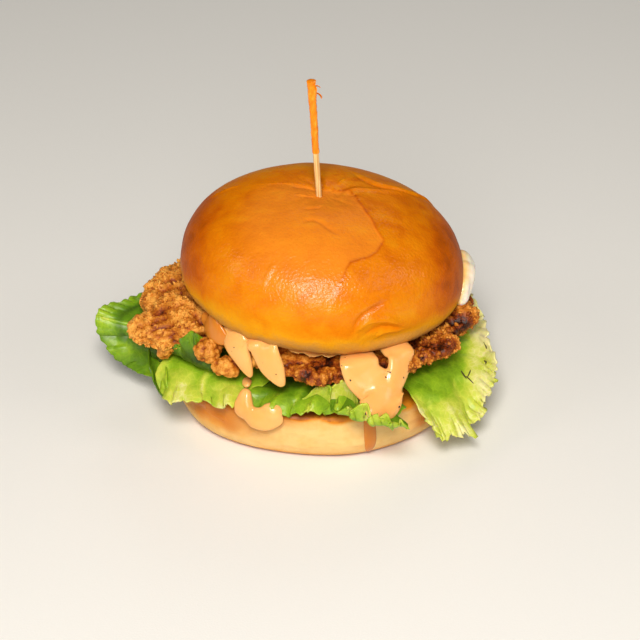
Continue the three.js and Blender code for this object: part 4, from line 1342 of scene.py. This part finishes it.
def build_film(look):
    low, high = (v.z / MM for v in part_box("frill_wrap"))
    length = min(FILM["length"], high - low)
    inner = STICK["radius"] + 0.08
    rows = [(0, length), (inner, length), (FILM["radius"] - 0.1, length)]
    downs = np.linspace(length - 0.1, 0.1, 130)
    flare = (1 - smooth(downs, 0, FILM["flare"])) * (FILM["mouth"] - FILM["radius"])
    rows += [(FILM["radius"] + extra, down) for down, extra in zip(downs, flare)]
    rows += [(FILM["mouth"] - 0.1, 0), (FILM["mouth"] * 0.55, -0.02), (0, -0.02)]
    share, down, azimuth, faces = turned(rows, 40)
    wound = np.mod(azimuth / (2 * math.pi) + down / 9.5, 1.0)
    overlap = 0.12 * smooth(wound, 0, 0.06) * (1 - wound)
    mesh_points = along_stick(share, down, azimuth)
    crinkle = 0.10 * cloud(mesh_points, 1.2, 98) + 0.16 * cloud(mesh_points, 3.4, 99)
    crinkle *= 1 + 1.8 * (1 - smooth(down, 0, 7))
    skin = smooth(share, inner, FILM["radius"])
    mesh_points = along_stick(share + skin * (overlap + crinkle), down, azimuth)
    mesh = make_mesh("film_sleeve", mesh_points, faces, outwards=True)
    add_piece("film_sleeve", mesh, film_finish(look, "wound_cellophane", 0.0), "film", "frill_wrap")
    top, axis = stick_axis()
    shreds = []
    for depth, heading, turns, size, width, phase in FILM_CURLS:
        ribbon = film_curl(top + axis * depth, heading, turns, size, width, phase)
        shreds.append(sheet(ribbon, 0.08))
    mesh = make_mesh("film_shreds", *joined(shreds), outwards=True)
    return add_piece("film_shreds", mesh, film_finish(look, "loose_cellophane", 0.3), "film")


# ---------------------------------------------------------------- stage


def build_stage(look):
    scene = bpy.context.scene
    scene.view_settings.view_transform = "Standard"
    half = FLOOR_SIZE / 2
    floor_mesh = bpy.data.meshes.new("floor")
    floor_mesh.from_pydata([(-half, -half, 0), (half, -half, 0), (half, half, 0), (-half, half, 0)], [],
                           [(0, 1, 2, 3)])
    finish = plain_finish("pale_floor", look.floor_colour, linear("#EFEDE9"), 0.0008, 0.75)
    floor_mesh.materials.append(finish)
    floor = in_scene("floor", floor_mesh)
    target = Vector(CAMERA["target"]) * MM
    for name, place, size, power, colour in [
        ("key_light", (0.0, -0.92, 1.06), 0.5, look.key_power, "#FFF9F0"),
        ("shine", (-0.05, -0.92, 1.02), 0.34, look.shine_power, "#FFFAF2"),
        ("front_fill", (-0.2, -1.75, 0.95), 0.8, look.front_power, "#FFFAF2"),
        ("left_fill", (-1.2, -0.5, 1.0), 0.5, look.side_power, "#FFFDF8"),
        ("right_fill", (1.2, -0.4, 1.0), 0.5, look.side_power, "#FFFDF8"),
        ("back_fill", (0.3, 1.3, 1.2), 0.6, look.side_power, "#FFFDF8"),
    ]:
        lamp = bpy.data.lights.new(name, "AREA")
        lamp.shape = "SQUARE"
        lamp.size = size
        lamp.energy = power
        lamp.color = linear(colour)[:3]
        light = in_scene(name, lamp)
        light.location = place
        light.rotation_euler = (target - Vector(place)).to_track_quat("-Z", "Y").to_euler()
    world = bpy.data.worlds.new("studio")
    world.use_nodes = True
    feed(world.node_tree, world.node_tree.nodes["Background"],
         {"Color": linear("#F4F2EE"), "Strength": look.room_light})
    scene.world = world
    lens = bpy.data.cameras.new("camera")
    lens.lens = CAMERA["lens"]
    lens.sensor_width = 36.0
    lens.clip_end = 50.0
    camera = in_scene("camera", lens)
    up = math.radians(CAMERA["elevation"])
    camera.location = target + Vector((0, -math.cos(up), math.sin(up))) * CAMERA["distance"] * MM
    camera.rotation_euler = (math.pi / 2 - up, 0, 0)
    scene.camera = camera


# ---------------------------------------------------------------- what a user may change


def colour_setting(name, description, code):
    return FloatVectorProperty(name=name, description=description, default=linear(code), size=4,
                               min=0, max=1, subtype="COLOR")


def length_setting(name, description, millimetres):
    return FloatProperty(name=name, description=description, default=millimetres * MM, min=0,
                         unit="LENGTH", precision=5)


def power_setting(name, description, watts):
    return FloatProperty(name=name, description=description, default=watts, min=0, subtype="POWER")


class BurgerBunLook(bpy.types.PropertyGroup):
    """Looks of the two halves of the bun."""

    dimple_depth: length_setting("Dimple depth", "How deep the stick presses into the crown", 2.2)
    rim_colour: colour_setting("Rim", "Pale lower rim of the crown", "#BC8540")
    pale_crust: colour_setting("Pale crust", "Lightly baked crust", "#DE940F")
    golden_crust: colour_setting("Golden crust", "Front and middle of the crown", "#D87702")
    baked_crust: colour_setting("Baked crust", "Top and back of the crown", "#C05A02")
    # the darkest crust is reached mostly at the crown's ends, where shade is painted
    dark_crust: colour_setting("Dark crust", "Browned edges", "#8A3A02")
    crumb_colour: colour_setting("Crumb", "Pale side of the heel", "#EBC27C")


class BurgerFilletLook(bpy.types.PropertyGroup):
    """Looks of the breaded fillet and its crumbs."""

    crag_height: length_setting("Crag height", "Height of the lumps in the breading", 2.6)
    crumb_size: length_setting("Crumb size", "Radius of the largest loose crumb", 1.0)
    crumb_density: FloatProperty(name="Crumb density", description="Crumbs to a square metre", min=0,
                                 default=900000.0)
    seed: IntProperty(name="Seed", description="Picks another scatter of crumbs", default=3)
    # the colour that the painted shade of the breading's creases takes
    crease_shade_colour: colour_setting("Crease", "Deep creases of the breading", "#2A0D03")
    brown_colour: colour_setting("Brown", "Well fried breading", "#86380A")
    golden_colour: colour_setting("Golden", "Golden lumps", "#BE701A")
    pale_colour: colour_setting("Pale", "Lightest points of the crumbs", "#EFAA4A")


class BurgerLettuceLook(bpy.types.PropertyGroup):
    """Looks of the lettuce leaves."""

    leaf_thickness: length_setting("Leaf thickness", "Thickness of a leaf", 0.6)
    ruffle_height: length_setting("Ruffle height", "Height of the ruffles at the rims", 4.2)
    blister_height: length_setting("Blister height", "Height of the blisters between veins", 0.8)
    deep_leaf: colour_setting("Deep green", "Shaded folds", "#2C4208")
    green_leaf: colour_setting("Green", "Outer leaf", "#5E8412")
    fresh_leaf: colour_setting("Fresh green", "Most of a leaf", "#8FB021")
    light_leaf: colour_setting("Light green", "Inner leaf", "#C4CC48")
    rib_colour: colour_setting("Rib", "Pale ribs", "#E6DF9E")


class BurgerSauceLook(bpy.types.PropertyGroup):
    """Looks of the sauces."""

    sauce_detail: length_setting("Sauce detail", "Cell size that runs the sauce together", 0.65)
    fleck_size: length_setting("Fleck size", "Radius of the largest pepper fleck", 0.5)
    fleck_density: FloatProperty(name="Fleck density", description="Flecks to a square metre", min=0,
                                 default=16000.0)
    sauce_colour: colour_setting("Sauce", "Chilli mayonnaise", "#F7BC72")
    sauce_deep: colour_setting("Deep sauce", "Redder streaks of the sauce", "#F0A552")
    thin_colour: colour_setting("Thin sauce", "Sauce soaked into what it lies on", "#D98A32")
    thin_deep: colour_setting("Thin deep sauce", "Redder streaks of the thin sauce", "#C4721E")
    cream_colour: colour_setting("Dressing", "Creamy dressing", "#FBEEDA")
    cream_rim: colour_setting("Dressing rim", "Thin rim of the dressing", "#F2C778")


class BurgerStickLook(bpy.types.PropertyGroup):
    """Looks of the stick and its film."""

    wood_colour: colour_setting("Wood", "Bamboo", "#EFC27E")
    wood_dark: colour_setting("Fibres", "Darker fibres", "#C98F45")
    film_colour: colour_setting("Film", "Orange cellophane", "#FA8E10")
    film_deep: colour_setting("Film folds", "Doubled film", "#E07604")


class BurgerStageLook(bpy.types.PropertyGroup):
    """Light and floor."""

    key_power: power_setting("Key light", "Power of the overhead light", 5.0)
    shine_power: power_setting("Shine", "Power of the small light that makes the highlights", 11.8)
    front_power: power_setting("Front light", "Power of the soft light by the camera", 11.0)
    side_power: power_setting("Side lights", "Power of each side light", 2.0)
    room_light: FloatProperty(name="Room light", description="Strength of the light all round", min=0,
                              default=0.05)
    floor_colour: colour_setting("Floor", "Plain pale floor", "#F2F1EE")


# ---------------------------------------------------------------- operators


class BURGER_OT_bun(bpy.types.Operator):
    """Makes the heel and the crown of the bun."""

    bl_idname = "burger.add_bun"
    bl_label = "Add Bun"

    def execute(self, context):
        build_heel(context.scene.burger_bun)
        build_crown(context.scene.burger_bun)
        return {"FINISHED"}


class BURGER_OT_fillet(bpy.types.Operator):
    """Makes the breaded fillet and the crumbs on it."""

    bl_idname = "burger.add_fillet"
    bl_label = "Add Fillet"

    def execute(self, context):
        build_fillet(context.scene.burger_fillet)
        return {"FINISHED"}


class BURGER_OT_lettuce(bpy.types.Operator):
    """Makes the four leaves of lettuce, the bits curled up between them and the herb on one."""

    bl_idname = "burger.add_lettuce"
    bl_label = "Add Lettuce"

    def execute(self, context):
        look = context.scene.burger_lettuce
        finish = leaf_finish(look)
        for leaf in LEAVES:
            build_leaf(leaf, look, finish)
        build_curls(look, finish)
        build_herbs(look)
        return {"FINISHED"}


class BURGER_OT_sauces(bpy.types.Operator):
    """Makes the chilli sauce, thick and thin, its pepper flecks and the creamy dressing."""

    bl_idname = "burger.add_sauces"
    bl_label = "Add Sauces"

    def execute(self, context):
        build_sauce(context.scene.burger_sauce)
        build_cream(context.scene.burger_sauce)
        return {"FINISHED"}


class BURGER_OT_stick(bpy.types.Operator):
    """Makes the cocktail stick and the film wound on it."""

    bl_idname = "burger.add_stick"
    bl_label = "Add Stick"

    def execute(self, context):
        build_stick(context.scene.burger_stick)
        build_film(context.scene.burger_stick)
        return {"FINISHED"}


class BURGER_OT_stage(bpy.types.Operator):
    """Sets the floor, the lights and the camera."""

    bl_idname = "burger.set_stage"
    bl_label = "Set Stage"

    def execute(self, context):
        build_stage(context.scene.burger_stage)
        return {"FINISHED"}


class BURGER_PT_panel(bpy.types.Panel):
    """Sidebar panel with every setting and step."""

    bl_label = "Chicken Burger"
    bl_idname = "BURGER_PT_panel"
    bl_space_type = "VIEW_3D"
    bl_region_type = "UI"
    bl_category = "Burger"

    def draw(self, context):
        for name, (group, operator) in STEPS.items():
            box = self.layout.box()
            settings = getattr(context.scene, name)
            for key in group.__annotations__:
                box.prop(settings, key)
            box.operator(operator.bl_idname)


STEPS = {
    "burger_bun": (BurgerBunLook, BURGER_OT_bun),
    "burger_fillet": (BurgerFilletLook, BURGER_OT_fillet),
    "burger_lettuce": (BurgerLettuceLook, BURGER_OT_lettuce),
    "burger_sauce": (BurgerSauceLook, BURGER_OT_sauces),
    "burger_stick": (BurgerStickLook, BURGER_OT_stick),
    "burger_stage": (BurgerStageLook, BURGER_OT_stage),
}


def register():
    for name, (group, operator) in STEPS.items():
        bpy.utils.register_class(group)
        bpy.utils.register_class(operator)
        setattr(bpy.types.Scene, name, PointerProperty(type=group))
    bpy.utils.register_class(BURGER_PT_panel)


def unregister():
    bpy.utils.unregister_class(BURGER_PT_panel)
    for name, (group, operator) in reversed(STEPS.items()):
        delattr(bpy.types.Scene, name)
        bpy.utils.unregister_class(operator)
        bpy.utils.unregister_class(group)


def main():
    register()
    bpy.ops.burger.add_bun()
    bpy.ops.burger.add_fillet()
    bpy.ops.burger.add_lettuce()
    bpy.ops.burger.add_sauces()
    bpy.ops.burger.add_stick()
    bpy.ops.burger.set_stage()


if __name__ == "__main__":
    main()
